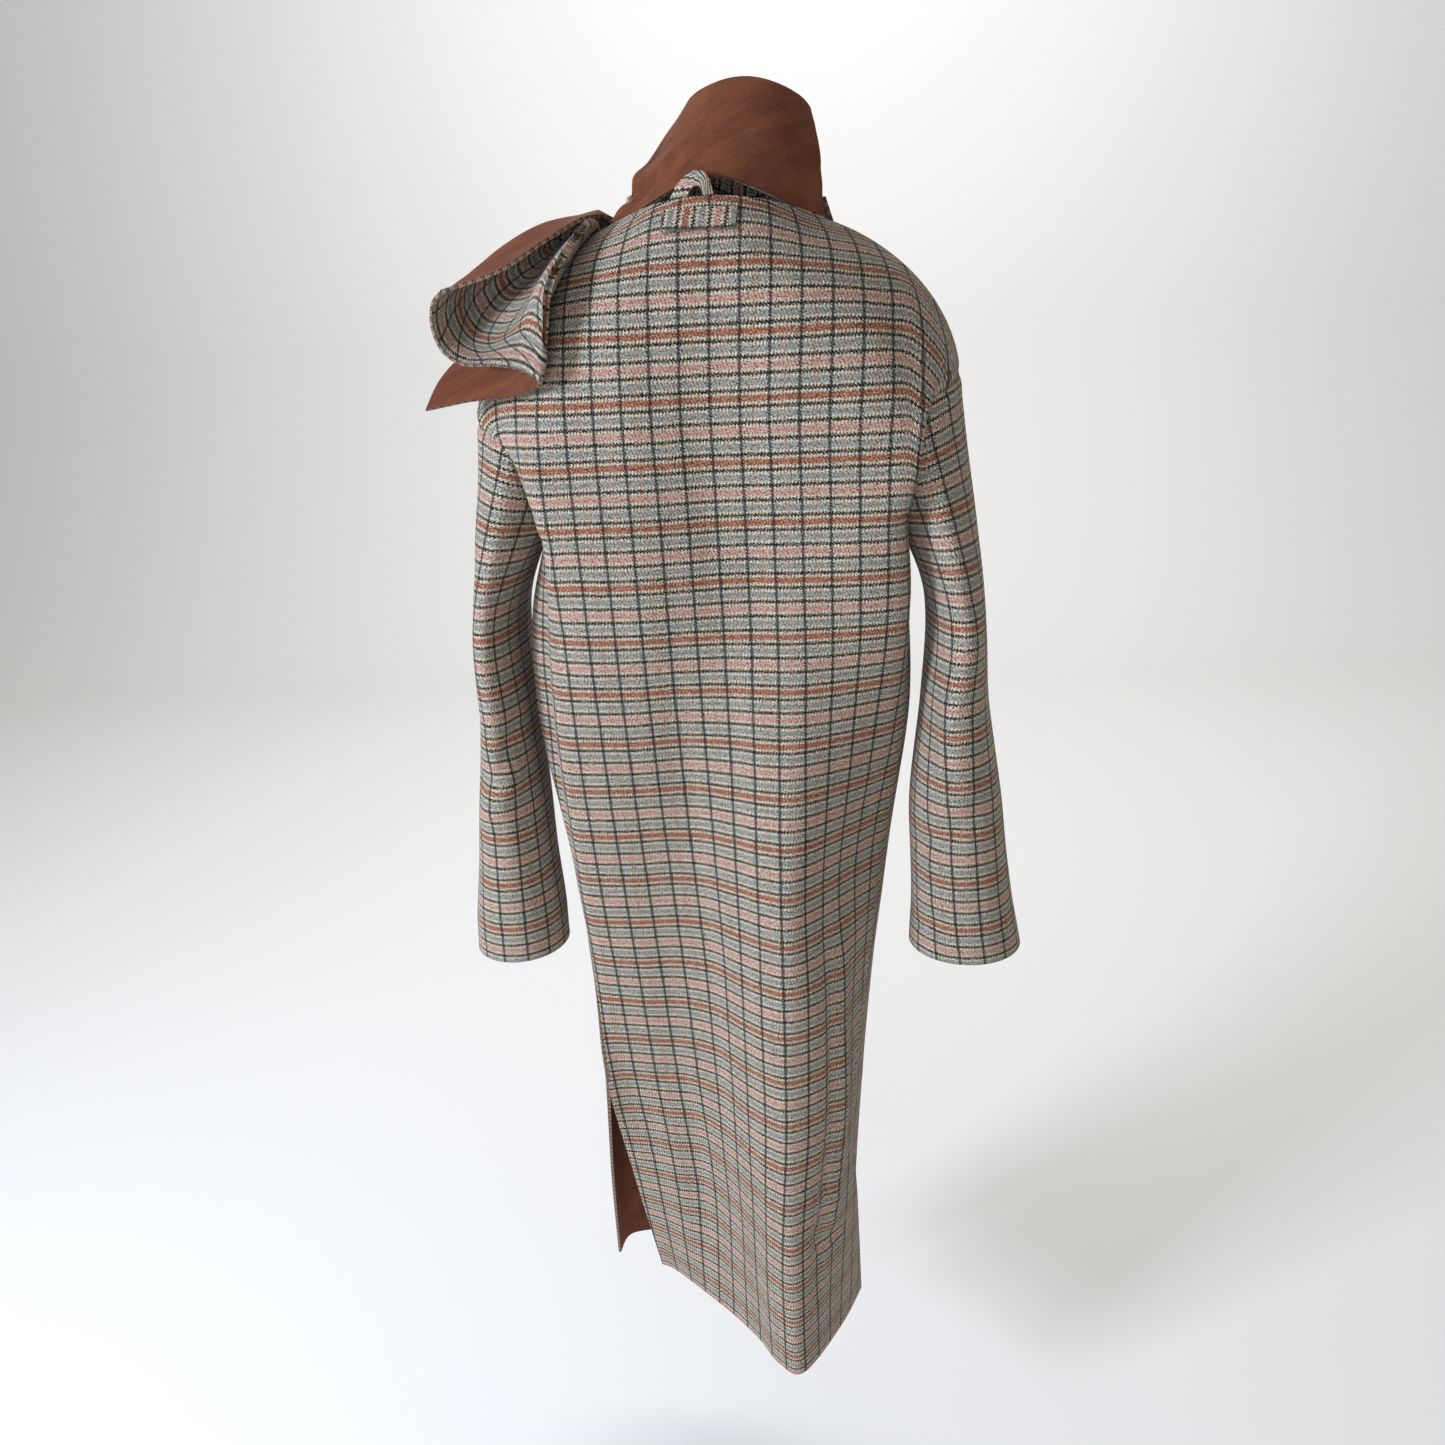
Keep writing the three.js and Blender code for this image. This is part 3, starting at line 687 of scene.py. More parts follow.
@dataclass
class Shell:
    """A wall of cloth on a grid of points, with its own measures as UVs."""

    name: str
    points: Array  # levels by columns by three, the outer face in millimetres
    side: float  # +1 or -1, the side of the grid that is outside
    cloth: Array  # levels by columns by two: across and down in millimetres of cloth
    closed: bool = False
    wall: float = WALL
    rim: float = 1.0  # how far an edge swells, mm

    def sides(self) -> tuple[Array, Array]:
        """Gives the outer face and the inner face.

        Returns:
            Two grids of points.
        """
        normal = outward(self.points, self.side, self.closed)
        return self.points, self.points - self.wall * normal

    def faces(self) -> tuple[Array, Array, Array, Array]:
        """Lays the faces of both sides and of the free edges.

        Returns:
            Vertices, faces as rows of four numbers, the faces' UVs, and their slots.
        """
        outer, inner = self.sides()
        levels, columns = outer.shape[:2]
        kept = columns - 1 if self.closed else columns
        number = np.arange(levels * kept).reshape(levels, kept)
        if self.closed:
            number = np.concatenate([number, number[:, :1]], axis=1)
        base = levels * kept
        vertices = [outer[:, :kept].reshape(-1, 3), inner[:, :kept].reshape(-1, 3)]
        quads = np.stack([number[:-1, :-1], number[1:, :-1], number[1:, 1:], number[:-1, 1:]], 2)
        uv = self.cloth
        uvs = np.stack([uv[:-1, :-1], uv[1:, :-1], uv[1:, 1:], uv[:-1, 1:]], 2)
        quads, uvs = quads.reshape(-1, 4), uvs.reshape(-1, 4, 2)
        rows = [quads, (quads + base)[:, ::-1]]
        maps = [uvs, uvs[:, ::-1]]
        slots = [np.full(len(quads), Face.OUTER.value), np.full(len(quads), Face.INNER.value)]

        used = 2 * base
        for cells, away in self.edges(number):
            middle = (outer.reshape(-1, 3)[away[0]] + inner.reshape(-1, 3)[away[0]]) / 2
            push = outer.reshape(-1, 3)[away[0]] - outer.reshape(-1, 3)[away[1]]
            push /= np.maximum(np.linalg.norm(push, axis=1, keepdims=True), 1e-9)
            vertices.append(middle + self.rim * push)
            ring = used + np.arange(len(cells))
            used += len(cells)
            run = np.linalg.norm(np.diff(middle, axis=0), axis=1)
            length = np.concatenate([[0], np.cumsum(run)])
            for near, far, start in ((cells, ring, 0.0), (ring, cells + base, self.wall / 2)):
                rows.append(np.stack([near[:-1], near[1:], far[1:], far[:-1]], 1))
                low, high = np.full(len(run), start), np.full(len(run), start + self.wall / 2)
                corners = ((length[:-1], low), (length[1:], low), (length[1:], high), (length[:-1], high))
                maps.append(np.stack([np.stack(c, 1) for c in corners], 1))
                slots.append(np.full(len(run), Face.EDGE.value))
        return np.concatenate(vertices), np.concatenate(rows), np.concatenate(maps), np.concatenate(slots)

    def edges(self, number: Array) -> list[tuple[Array, tuple[Array, Array]]]:
        """Lists the free edges.

        Args:
            number: The vertex of each place of the grid.

        Returns:
            For each edge its vertices in order, and the places on it and next to it in the grid.
        """
        levels, columns = self.points.shape[:2]
        place = np.arange(levels * columns).reshape(levels, columns)
        runs = [
            (number[0, ::-1], (place[0, ::-1], place[1, ::-1])),
            (number[-1], (place[-1], place[-2])),
        ]
        if not self.closed:
            runs += [
                (number[:, 0], (place[:, 0], place[:, 1])),
                (number[::-1, -1], (place[::-1, -1], place[::-1, -2])),
            ]
        return runs

    def build(
        self, materials: Sequence[bpy.types.Material], nodes: Sequence[str], slot: str
    ) -> bpy.types.Object:
        """Makes the object and puts it in place of its solids.

        Args:
            materials: For the outer face, the inner face and the edge.
            nodes: The solids that it stands for.
            slot: The record's material slot. Not used.

        Returns:
            The new object.
        """
        vertices, faces, uvs, slots = self.faces()
        if enclosed(vertices, faces) < 0:
            faces, uvs = faces[:, ::-1], uvs[:, ::-1]
        mesh = bpy.data.meshes.new(self.name)
        mesh.from_pydata((vertices / 1000).tolist(), [], faces.tolist())
        mesh.polygons.foreach_set("use_smooth", np.ones(len(faces), bool))
        mesh.polygons.foreach_set("material_index", slots.astype(np.int32))
        layer = mesh.uv_layers.new(name=UV_NAME)
        layer.data.foreach_set("uv", (uvs / 1000).reshape(-1).astype(np.float32))
        for material in materials:
            mesh.materials.append(material)
        mesh.update()
        shell = bpy.data.objects.new(self.name, mesh)
        bpy.context.scene.collection.objects.link(shell)
        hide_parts(*nodes)
        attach(shell, "root")
        corner = self.points[:-1, :-1]
        cells = np.cross(self.points[1:, :-1] - corner, self.points[:-1, 1:] - corner)
        area = float(np.linalg.norm(cells, axis=2).sum()) / 1e6
        LOG.info("%s: %d faces, %.4f square metres of cloth", self.name, len(faces), area)
        return shell


def enclosed(vertices: Array, faces: Array) -> float:
    """Gives the signed volume inside four-sided faces.

    Args:
        vertices: Points, in millimetres.
        faces: Rows of four numbers of vertices.

    Returns:
        Cubic millimetres, below 0 if the faces look inward.
    """
    a, b, c, d = (vertices[faces[:, k]] for k in range(4))
    return float((a * np.cross(b, c)).sum() + (a * np.cross(c, d)).sum()) / 6


@dataclass(frozen=True)
class Cut:
    """The flat cut of a piece of cloth, in metres."""

    width: float
    length: float
    area: float

    def declare(self, piece: bpy.types.Object, held: str, rests_on: Sequence[str]) -> None:
        """Takes the piece and how it hangs, and does nothing with them.

        Args:
            piece: The shell that was cut from it. Not used.
            held: How the cloth is held. Not used.
            rests_on: The nodes that it lies on or hangs from. Not used.
        """


@dataclass
class CoatBody:
    """Back and fronts: sections at thirty levels between armholes, side seams and slits."""

    levels: int = 30
    underarm: int = 9  # its level
    slit: int = 22  # the level of the slits' top
    underarm_row: int = 6  # the same two as rows of the charts
    slit_row: int = 11
    shoulder: int = 4
    back_neck: int = 14
    front_spans: int = 7
    overlap_clear: float = 2.0
    mid_share: float = 0.2
    neck_right_share: float = 0.435
    neck_left_share: float = 0.425
    armhole_axis: tuple[float, float] = (-8, -15)
    fine_levels: int = 5
    fine_columns: int = 5
    edges: Chart = Chart(
        "rightX rightY rightZ leftX leftY leftZ",
        (
            (-214, -8, -133, 219, -8, -150),  # shoulder end
            (-204, 28, -141, 211, 26, -158),
            (-184, 48, -152, 192, 46, -168),
            (-169, 54, -170, 178, 52, -184),
            (-161, 40, -206, 170, 38, -218),
            (-155, 14, -240, 168, 14, -248),
            (-155, -15, -252, 171, -15, -262),  # underarm
            (-167, -12, -340, 190, -2, -340),  # chest
            (-170, -15, -450, 193, -2, -450),  # waist
            (-149, -28, -600, 173, -3, -600),  # hip
            (-132, -28, -738, 165, -4, -738),
            (-113, 2, -888, 161, -2, -868),  # top of the slits
            (-117, -14, -1040, 148, -40, -1040),
            (-121, -48, -1206, 131, -74, -1206),  # hem
        ),
    )
    back: Chart = Chart(
        "z fall round sway foldRX foldRY bladeR midR centre midL bladeL foldLX foldLY",
        (
            (13, 2.2, 0.55, -7, -172, -6, 2, 44, 60, 44, 2, 172, -6),
            (-4, 2.2, 0.6, -6, -174, 34, 42, 62, 67, 62, 42, 172, 32),
            (-36, 2.2, 0.7, -5, -174, 60, 74, 78, 78, 78, 74, 168, 56),
            (-84, 2.2, 0.82, -3, -172, 72, 84, 82, 82, 84, 86, 160, 70),
            (-150, 2.1, 0.92, 0, -168, 73, 80, 76, 76, 82, 86, 152, 76),
            (-214, 1.6, 1, 0, -160, 70, 72, 68, 69, 76, 82, 147, 76),
            (-262, 1, 1, 0, -158, 64, 66, 62, 64, 72, 78, 146, 72),
            (-340, 1, 1, 0, -162, 42, 60, 56, 56, 62, 68, 150, 58),
            (-450, 1, 1, 0, -150, 16, 61, 58, 48, 42, 50, 158, 44),
            (-600, 1, 1, 0, -124, 0, 64, 60, 46, 28, 28, 156, 24),
            (-738, 1, 1, 0, -100, 34, 68, 62, 46, 20, 13, 144, 6),
            (-878, 1, 1, 0, -94, 44, 76, 68, 50, 18, 3, 134, -6),
            (-1040, 1, 1, 0, -96, 30, 82, 74, 44, 8, -18, 124, -34),
            (-1206, 1, 1, 0, -96, 8, 74, 64, 33, 6, -20, 110, -64),
        ),
    )
    front: Chart = Chart(
        "z dip fall round sway foldRX foldRY chestR mid centre chestL foldLX foldLY",
        (
            (13, 84, 2.2, 0.55, -7, -172, -6, 2, -58, -84, 2, 172, -6),
            (-4, 84, 2.2, 0.6, -6, -172, -38, -34, -76, -92, -34, 172, -38),
            (-36, 74, 2.2, 0.7, -5, -170, -62, -66, -90, -100, -66, 170, -62),
            (-84, 54, 2.2, 0.82, -3, -166, -82, -90, -101, -106, -90, 168, -82),
            (-150, 28, 2.1, 0.92, 0, -162, -92, -106, -112, -115, -106, 166, -92),
            (-214, 8, 1.6, 1, 0, -160, -94, -113, -120, -122, -113, 166, -94),
            (-262, 0, 1, 1, 0, -160, -92, -115, -123, -125, -115, 168, -90),
            (-340, 0, 1, 1, 0, -166, -70, -113, -124, -127, -112, 182, -66),
            (-450, 0, 1, 1, 0, -166, -66, -110, -122, -126, -110, 186, -62),
            (-600, 0, 1, 1, 2, -148, -74, -112, -122, -124, -108, 172, -70),
            (-738, 0, 1, 1, 5, -134, -80, -118, -124, -122, -112, 168, -78),
            (-878, 0, 1, 1, 9, -120, -60, -118, -130, -124, -122, 168, -72),
            (-1040, 0, 1, 1, 18, -110, -84, -118, -134, -126, -132, 178, -104),
            (-1206, 0, 1, 1, 28, -100, -104, -122, -138, -130, -140, 178, -128),
        ),
    )
    front_slits: Chart = Chart(
        "rightX rightY rightZ leftX leftY leftZ",
        (
            (-113, 2, -888, 161, -2, -868),
            (-111, -38, -1040, 180, -54, -1040),
            (-108, -78, -1206, 191, -93, -1206),
        ),
    )
    back_creases: tuple[Crease, ...] = (
        Crease(((-150, 70), (-166, 130), (-172, 200)), -4.0, 13),  # from the blade to the right armhole
        Crease(((-170, 110), (-184, 200), (-186, 330)), 3.0, 9),  # edge of the right fold
        Crease(((-190, 120), (-205, 210), (-206, 330)), -6.0, 9),  # behind it
        Crease(((120, 110), (152, 170), (158, 260), (150, 340)), 4.0, 15),  # beside the left armhole
        Crease(((96, 140), (120, 230), (128, 330)), -2.5, 20),
        Crease(((-84, 1010), (-110, 1035), (-150, 1050)), -4.5, 11),  # pucker over the right slit
        Crease(((-70, 960), (-104, 985), (-140, 990)), 2.2, 10),
        Crease(((-34, 300), (-42, 620), (-34, 900)), 3.2, 20),
        Crease(((56, 340), (72, 620), (88, 860), (92, 1080)), -4.0, 24),
        Crease(((10, 40), (16, 150), (8, 300)), -1.2, 10),  # under the hanging tab
        Crease(((104, 860), (116, 1020), (112, 1150)), 3.4, 18),
        Crease(((-104, 640), (-108, 800), (-106, 960), (-100, 1120)), -6.0, 8),  # beside the right seam
        Crease(((-124, 660), (-128, 820), (-126, 1040)), 4.0, 10),
        Crease(((174, 220), (186, 330), (188, 450), (178, 620)), -7.0, 13),  # behind the left arm
    )
    front_creases: tuple[Crease, ...] = (
        Crease(((-150, 90), (-142, 210), (-150, 330)), -3.0, 16),
        Crease(((-60, 260), (-72, 560), (-66, 860), (-52, 1120)), 3.0, 20),
        Crease(((40, 420), (62, 720), (58, 1020)), -2.6, 20),
        Crease(((130, 240), (138, 420), (126, 640)), 2.4, 16),
        Crease(((110, 760), (128, 900), (124, 1080)), -2.6, 18),
    )
    fold_at: float = 166  # beyond the right fold the grain turns with the shoulder
    fold_turn: float = 0.9
    back_cut: Cut = Cut(0.50, 1.25, 0.52)
    front_cut: Cut = Cut(0.34, 1.25, 0.33)

    @property
    def overlap_station(self) -> float:
        """How far a front runs past the centre, in stations."""
        return 2 + 4 * self.front_spans / 9

    def chart_row(self, level: Array) -> Array:
        """Turns levels of the body into rows of the charts.

        Args:
            level: Levels, from 0 at the top.

        Returns:
            Rows, which need not be whole.
        """
        known = (0, self.underarm, self.slit, self.levels)
        return np.interp(level, known, (0, self.underarm_row, self.slit_row, self.back.last))

    def back_edges(self, row: Array) -> tuple[Array, Array]:
        """Gives the right and left edge of the back at chart rows.

        Args:
            row: Rows of the charts.

        Returns:
            Points of the right edge and of the left edge.
        """
        found = self.edges.at(row)
        right = np.stack([found["rightX"], found["rightY"], found["rightZ"]], 1)
        return right, np.stack([found["leftX"], found["leftY"], found["leftZ"]], 1)

    def front_edges(self, row: Array, level: Array) -> tuple[Array, Array]:
        """Gives the fronts' edges: mirrored armholes, shared side seams and slits of their own.

        Args:
            row: Rows of the charts.
            level: The levels that they stand for.

        Returns:
            Points of the right edge and of the left edge.
        """
        right, left = self.back_edges(row)
        axis = np.interp(level, (0, self.underarm), self.armhole_axis)
        over = level <= self.underarm
        at = self.front_slits.last * (level - self.slit) / (self.levels - self.slit)
        slits = self.front_slits.at(np.clip(at, 0, self.front_slits.last))
        for edge, name in ((right, "right"), (left, "left")):
            edge[over, 1] = 2 * axis[over] - edge[over, 1]
            own = np.stack([slits[name + axis_name] for axis_name in "XYZ"], 1)
            edge[level > self.slit] = own[level > self.slit]
        return right, left

    def section(
        self, found: dict[str, Array], right: Array, left: Array, depths: Sequence[Array], stations: Array
    ) -> Array:
        """Places the cloth between two side edges.

        Args:
            found: The chart's values at each level.
            right: The right edge at each level.
            left: The left edge at each level.
            depths: Five depths from the right to the left.
            stations: From 0 at the right edge to 8 at the left edge.

        Returns:
            Points, levels by stations by three.
        """
        sway = found["sway"]
        across = [
            right[:, 0],
            found["foldRX"],
            sway + self.neck_right_share * right[:, 0],
            sway + self.mid_share * right[:, 0],
            sway,
            sway + self.mid_share * left[:, 0],
            sway + self.neck_left_share * left[:, 0],
            found["foldLX"],
            left[:, 0],
        ]
        deep = [right[:, 1], found["foldRY"], *depths, found["foldLY"], left[:, 1]]
        x = smooth(np.stack(across), stations).T
        y = smooth(np.stack(deep), stations).T
        edge_x = np.where(x < 0, right[:, :1], left[:, :1])
        edge_z = np.where(x < 0, right[:, 2:], left[:, 2:])
        share = np.minimum(np.abs(x / edge_x), 1)
        height = (1 - share ** found["fall"][:, None]) ** found["round"][:, None]
        hollow = np.maximum(0, 1 - ((stations - 4) / 2) ** 2)
        dip = found.get("dip", np.zeros(len(sway)))[:, None] * hollow
        return np.stack([x, y, edge_z + (found["z"][:, None] - edge_z) * height - dip], 2)

    def back_points(self, level: Array, stations: Array) -> Array:
        """Gives the back's outer face.

        Args:
            level: Its levels.
            stations: Its stations, from 0 at the right edge to 8 at the left one.

        Returns:
            Points, levels by stations by three.
        """
        row = self.chart_row(level)
        found = self.back.at(row)
        depths = [found[name] for name in ("bladeR", "midR", "centre", "midL", "bladeL")]
        return self.section(found, *self.back_edges(row), depths, stations)

    def front_points(self, level: Array, stations: Array) -> Array:
        """Gives the fronts' outer face, which meets the back along the shoulders.

        Args:
            level: Its levels.
            stations: Its stations, from 0 at the right edge to 8 at the left one.

        Returns:
            Points, levels by stations by three.
        """
        row = self.chart_row(level)
        found = self.front.at(row)
        depths = [found[name] for name in ("chestR", "mid", "centre", "mid", "chestL")]
        points = self.section(found, *self.front_edges(row, level), depths, stations)
        top = np.zeros(1)
        seam = self.back_points(top, stations)[0]
        found_top = self.front.at(top)
        depths_top = [found_top[name] for name in ("chestR", "mid", "centre", "mid", "chestL")]
        own = self.section(found_top, *self.front_edges(top, top), depths_top, stations)[0]
        beside = (np.abs(stations - 4) >= 2)[None, :, None]
        fade = np.clip(1 - level, 0, 1)[:, None, None]
        return points + np.where(beside, (seam - own)[None] * fade, 0)

    def back_stations(self, column: Array) -> Array:
        """Turns columns of the back into stations.

        Args:
            column: Columns, from the right edge.

        Returns:
            Stations from 0 to 8.
        """
        far = self.shoulder + self.back_neck
        return np.interp(column, (0, self.shoulder, far, far + self.shoulder), (0, 2, 6, 8))

    def front_stations(self, column: Array, side: Side) -> Array:
        """Turns columns of a front, from its side edge, into stations.

        Args:
            column: Columns, from the side edge.
            side: Which front.

        Returns:
            Stations from 0 to 8.
        """
        known = (0, self.shoulder, self.shoulder + self.front_spans)
        station = np.interp(column, known, (0, 2, self.overlap_station))
        return station if side is Side.RIGHT else 8 - station

    def sunk(self, points: Array, column: Array) -> Array:
        """Sinks the under front below the upper one.

        Args:
            points: The under front's grid.
            column: Its columns, from the side edge.

        Returns:
            The grid, lowered where the two overlap.
        """
        depth = (WALL + self.overlap_clear) * smoothstep(column, self.shoulder, self.shoulder + 2)
        return points - depth[None, :, None] * outward(points, -Side.LEFT.value)

    def cloth_measures(self, points: Array, centre: int) -> Array:
        """Gives the place on the cloth.

        Args:
            points: The panel's grid.
            centre: The column of the centre line.

        Returns:
            Across from the centre and down from the neck, in millimetres.
        """
        flat = points.copy()
        flat[..., 2] = 0
        across = distances(flat, 1)
        across = across - across[:, centre : centre + 1]
        if points[0, -1, 0] < points[0, 0, 0]:
            across = -across
        level = int(np.argmin(np.abs(points[:, centre, 2] + 60)))
        run = distances(points, 0)
        above = -points[level][None, :, 2] - (run[level][None] - run)
        down = np.where(np.arange(len(points))[:, None] < level, above, -points[..., 2])
        return np.stack([across, down], 2)

    def dressed(
        self,
        points: Array,
        side: float,
        cloth: Array,
        creases: Sequence[Crease],
        swell: Unevenness,
        sewn: Array,
    ) -> Array:
        """Adds creases, the slow swell and the dip along sewn edges.

        Args:
            points: The panel's grid.
            side: The outer side of the grid.
            cloth: Its place on the cloth.
            creases: The folds to add.
            swell: The slow swell to add.
            sewn: Distance of each point from the nearest sewn edge, in millimetres.

        Returns:
            The grid with its folds.
        """
        across, down = cloth[..., 0], cloth[..., 1]
        lift = swell.lift(across, down) + sum(c.lift(across, down) for c in creases)
        run_across, run_down = distances(points, 1), distances(points, 0)
        inside = np.minimum(run_across, run_across[:, -1:] - run_across)
        inside = np.minimum(inside, np.minimum(run_down, run_down[-1:] - run_down))
        lift = lift * smoothstep(inside, 0, 28)
        lift += seam_relief(sewn, 0.7)
        return points + lift[..., None] * outward(points, side)

    def sewn_edges(self, points: Array, level: Array, sides: Sequence[int], shoulders: Array) -> Array:
        """Gives each point's distance from the nearest sewn edge.

        Args:
            points: The panel's grid.
            level: Its levels.
            sides: 0 for its first column, -1 for its last one.
            shoulders: Which columns end in a shoulder seam.

        Returns:
            Distances in millimetres.
        """
        run_across, run_down = distances(points, 1), distances(points, 0)
        gap = np.full(points.shape[:2], 1e3)
        for edge in sides:
            reach = run_across if edge == 0 else run_across[:, -1:] - run_across
            gap = np.where(level[:, None] <= self.slit, np.minimum(gap, reach), gap)
        return np.where(shoulders[None, :], np.minimum(gap, run_down), gap)

    def make_back(self, wardrobe: Wardrobe) -> bpy.types.Object:
        """Builds the back.

        Args:
            wardrobe: The finishes.

        Returns:
            The shell.
        """
        level = steps(self.levels, self.fine_levels)
        column = steps(2 * self.shoulder + self.back_neck, self.fine_columns, (0.07, 0.17, 0.36))
        points = self.back_points(level, self.back_stations(column))
        cloth = self.cloth_measures(points, int(np.argmin(np.abs(self.back_stations(column) - 4))))
        shoulders = np.abs(self.back_stations(column) - 4) >= 2
        turned = np.maximum(0, -points[..., 0] - self.fold_at) * (1 - smoothstep(-points[..., 2], 170, 300))
        cloth[..., 1] -= self.fold_turn * turned
        sewn = self.sewn_edges(points, level, (0, -1), shoulders)
        swell = Unevenness(seed=3, height=1.0)
        points = self.dressed(points, -1, cloth, self.back_creases, swell, sewn)
        shell = Shell("shell_back", points, -1, cloth)
        piece = shell.build([wardrobe.check, wardrobe.rust, wardrobe.edge], ["back"], "checked_wool")
        self.back_cut.declare(piece, "hung", ["front_right", "front_left"])
        return piece

    def front_grid(self, side: Side, level: Array, column: Array) -> Array:
        """Gives a front's outer face; the left one lies under the right one.

        Args:
            side: Which front.
            level: Its levels.
            column: Its columns, from the side edge.

        Returns:
            Points, levels by columns by three.
        """
        points = self.front_points(level, self.front_stations(column, side))
        return points if side is Side.RIGHT else self.sunk(points, column)

    def make_front(self, side: Side, wardrobe: Wardrobe) -> bpy.types.Object:
        """Builds a front.

        Args:
            side: Which front.
            wardrobe: The finishes.

        Returns:
            The shell.
        """
        node = "front_right" if side is Side.RIGHT else "front_left"
        level = steps(self.levels, self.fine_levels)
        column = steps(self.shoulder + self.front_spans, self.fine_columns, (0.07, 0.17, 0.36))
        station = self.front_stations(column, side)
        points = self.front_grid(side, level, column)
        cloth = self.cloth_measures(points, int(np.argmin(np.abs(station - 4))))
        sewn = self.sewn_edges(points, level, (0,), np.abs(station - 4) >= 2)
        hand = -side.value
        swell = Unevenness(seed=11, height=0.8)
        points = self.dressed(points, hand, cloth, self.front_creases, swell, sewn)
        shell = Shell(f"shell_{node}", points, hand, cloth)
        piece = shell.build([wardrobe.check, wardrobe.rust, wardrobe.edge], [node], "checked_wool")
        self.front_cut.declare(piece, "hung", ["back"])
        return piece


@dataclass
class Sleeve:
    """A straight dropped sleeve, flat over the upper arm and rounder at the cuff."""

    body: CoatBody
    side: Side
    rings: Chart
    cut: Cut
    creases: tuple[Crease, ...]
    levels: int = 15
    around: int = 18
    seed: int = 5

    def armhole(self, column: Array) -> Array:
        """Gives the armhole's ring: round by the back, then up by the front.

        Args:
            column: Columns round the sleeve.

        Returns:
            Points of the ring.
        """
        end = self.body.underarm
        behind = column <= end
        level = np.where(behind, column, self.around - column)
        row = self.body.chart_row(level)
        pick = 0 if self.side is Side.RIGHT else 1
        back = self.body.back_edges(row)[pick]
        front = self.body.front_edges(row, level)[pick]
        return np.where(behind[:, None], back, front)

    def grid(self, level: Array, column: Array) -> Array:
        """Gives the sleeve's outer face.

        Args:
            level: Levels from the armhole down.
            column: Columns round the sleeve.

        Returns:
            Points, levels by columns by three.
        """
        turn = 2 * np.pi * column / self.around
        found = self.rings.at(np.arange(self.rings.last + 1.0))
        cos, sin = np.cos(turn)[None] * self.side.value, np.sin(turn)[None]
        x = found["x"][:, None] + found["halfX"][:, None] * cos
        y = found["y"][:, None] + found["halfY"][:, None] * sin
        z = np.repeat(found["z"][:, None], len(column), 1)
        rings = np.concatenate([self.armhole(column)[None], np.stack([x, y, z], 2)])
        return smooth(rings, level * (self.rings.last + 1) / self.levels)

    def make(self, wardrobe: Wardrobe) -> bpy.types.Object:
        """Builds the sleeve.

        Args:
            wardrobe: The finishes.

        Returns:
            The shell.
        """
        node = "sleeve_right" if self.side is Side.RIGHT else "sleeve_left"
        level = steps(self.levels, 7, (0.05, 0.12, 0.25))
        column = np.linspace(0, self.around, self.around * 6 + 1)
        points = self.grid(level, column)
        flat = points.copy()
        flat[..., 2] = 0
        across = distances(flat, 1)
        across = across - across[:, :1]
        cap = 1 - smoothstep(-points[..., 2], 150, 330)
        lean = 0.45 * cap * (self.side.value * points[..., 0] - 200)
        cloth = np.stack([across, lean - points[..., 2]], 2)
        down = distances(points, 0)
        swell = Unevenness(self.seed, 0.9, 110.0)
        lift = sum(c.lift(across, cloth[..., 1]) for c in self.creases)
        ring = 60 * np.cos(2 * np.pi * column / self.around)[None] + 0 * down
        round_lift = swell.lift(ring, down)
        lift = (lift + round_lift) * smoothstep(np.minimum(down, down[-1:] - down), 0, 40)
        lift += seam_relief(down, 0.6)
        points = points + lift[..., None] * outward(points, self.side.value, True)
        points[:, -1] = points[:, 0]
        shell = Shell(f"shell_{node}", points, self.side.value, cloth, closed=True)
        piece = shell.build([wardrobe.check, wardrobe.rust, wardrobe.edge], [node], "checked_wool")
        self.cut.declare(piece, "hung", ["back"])
        return piece


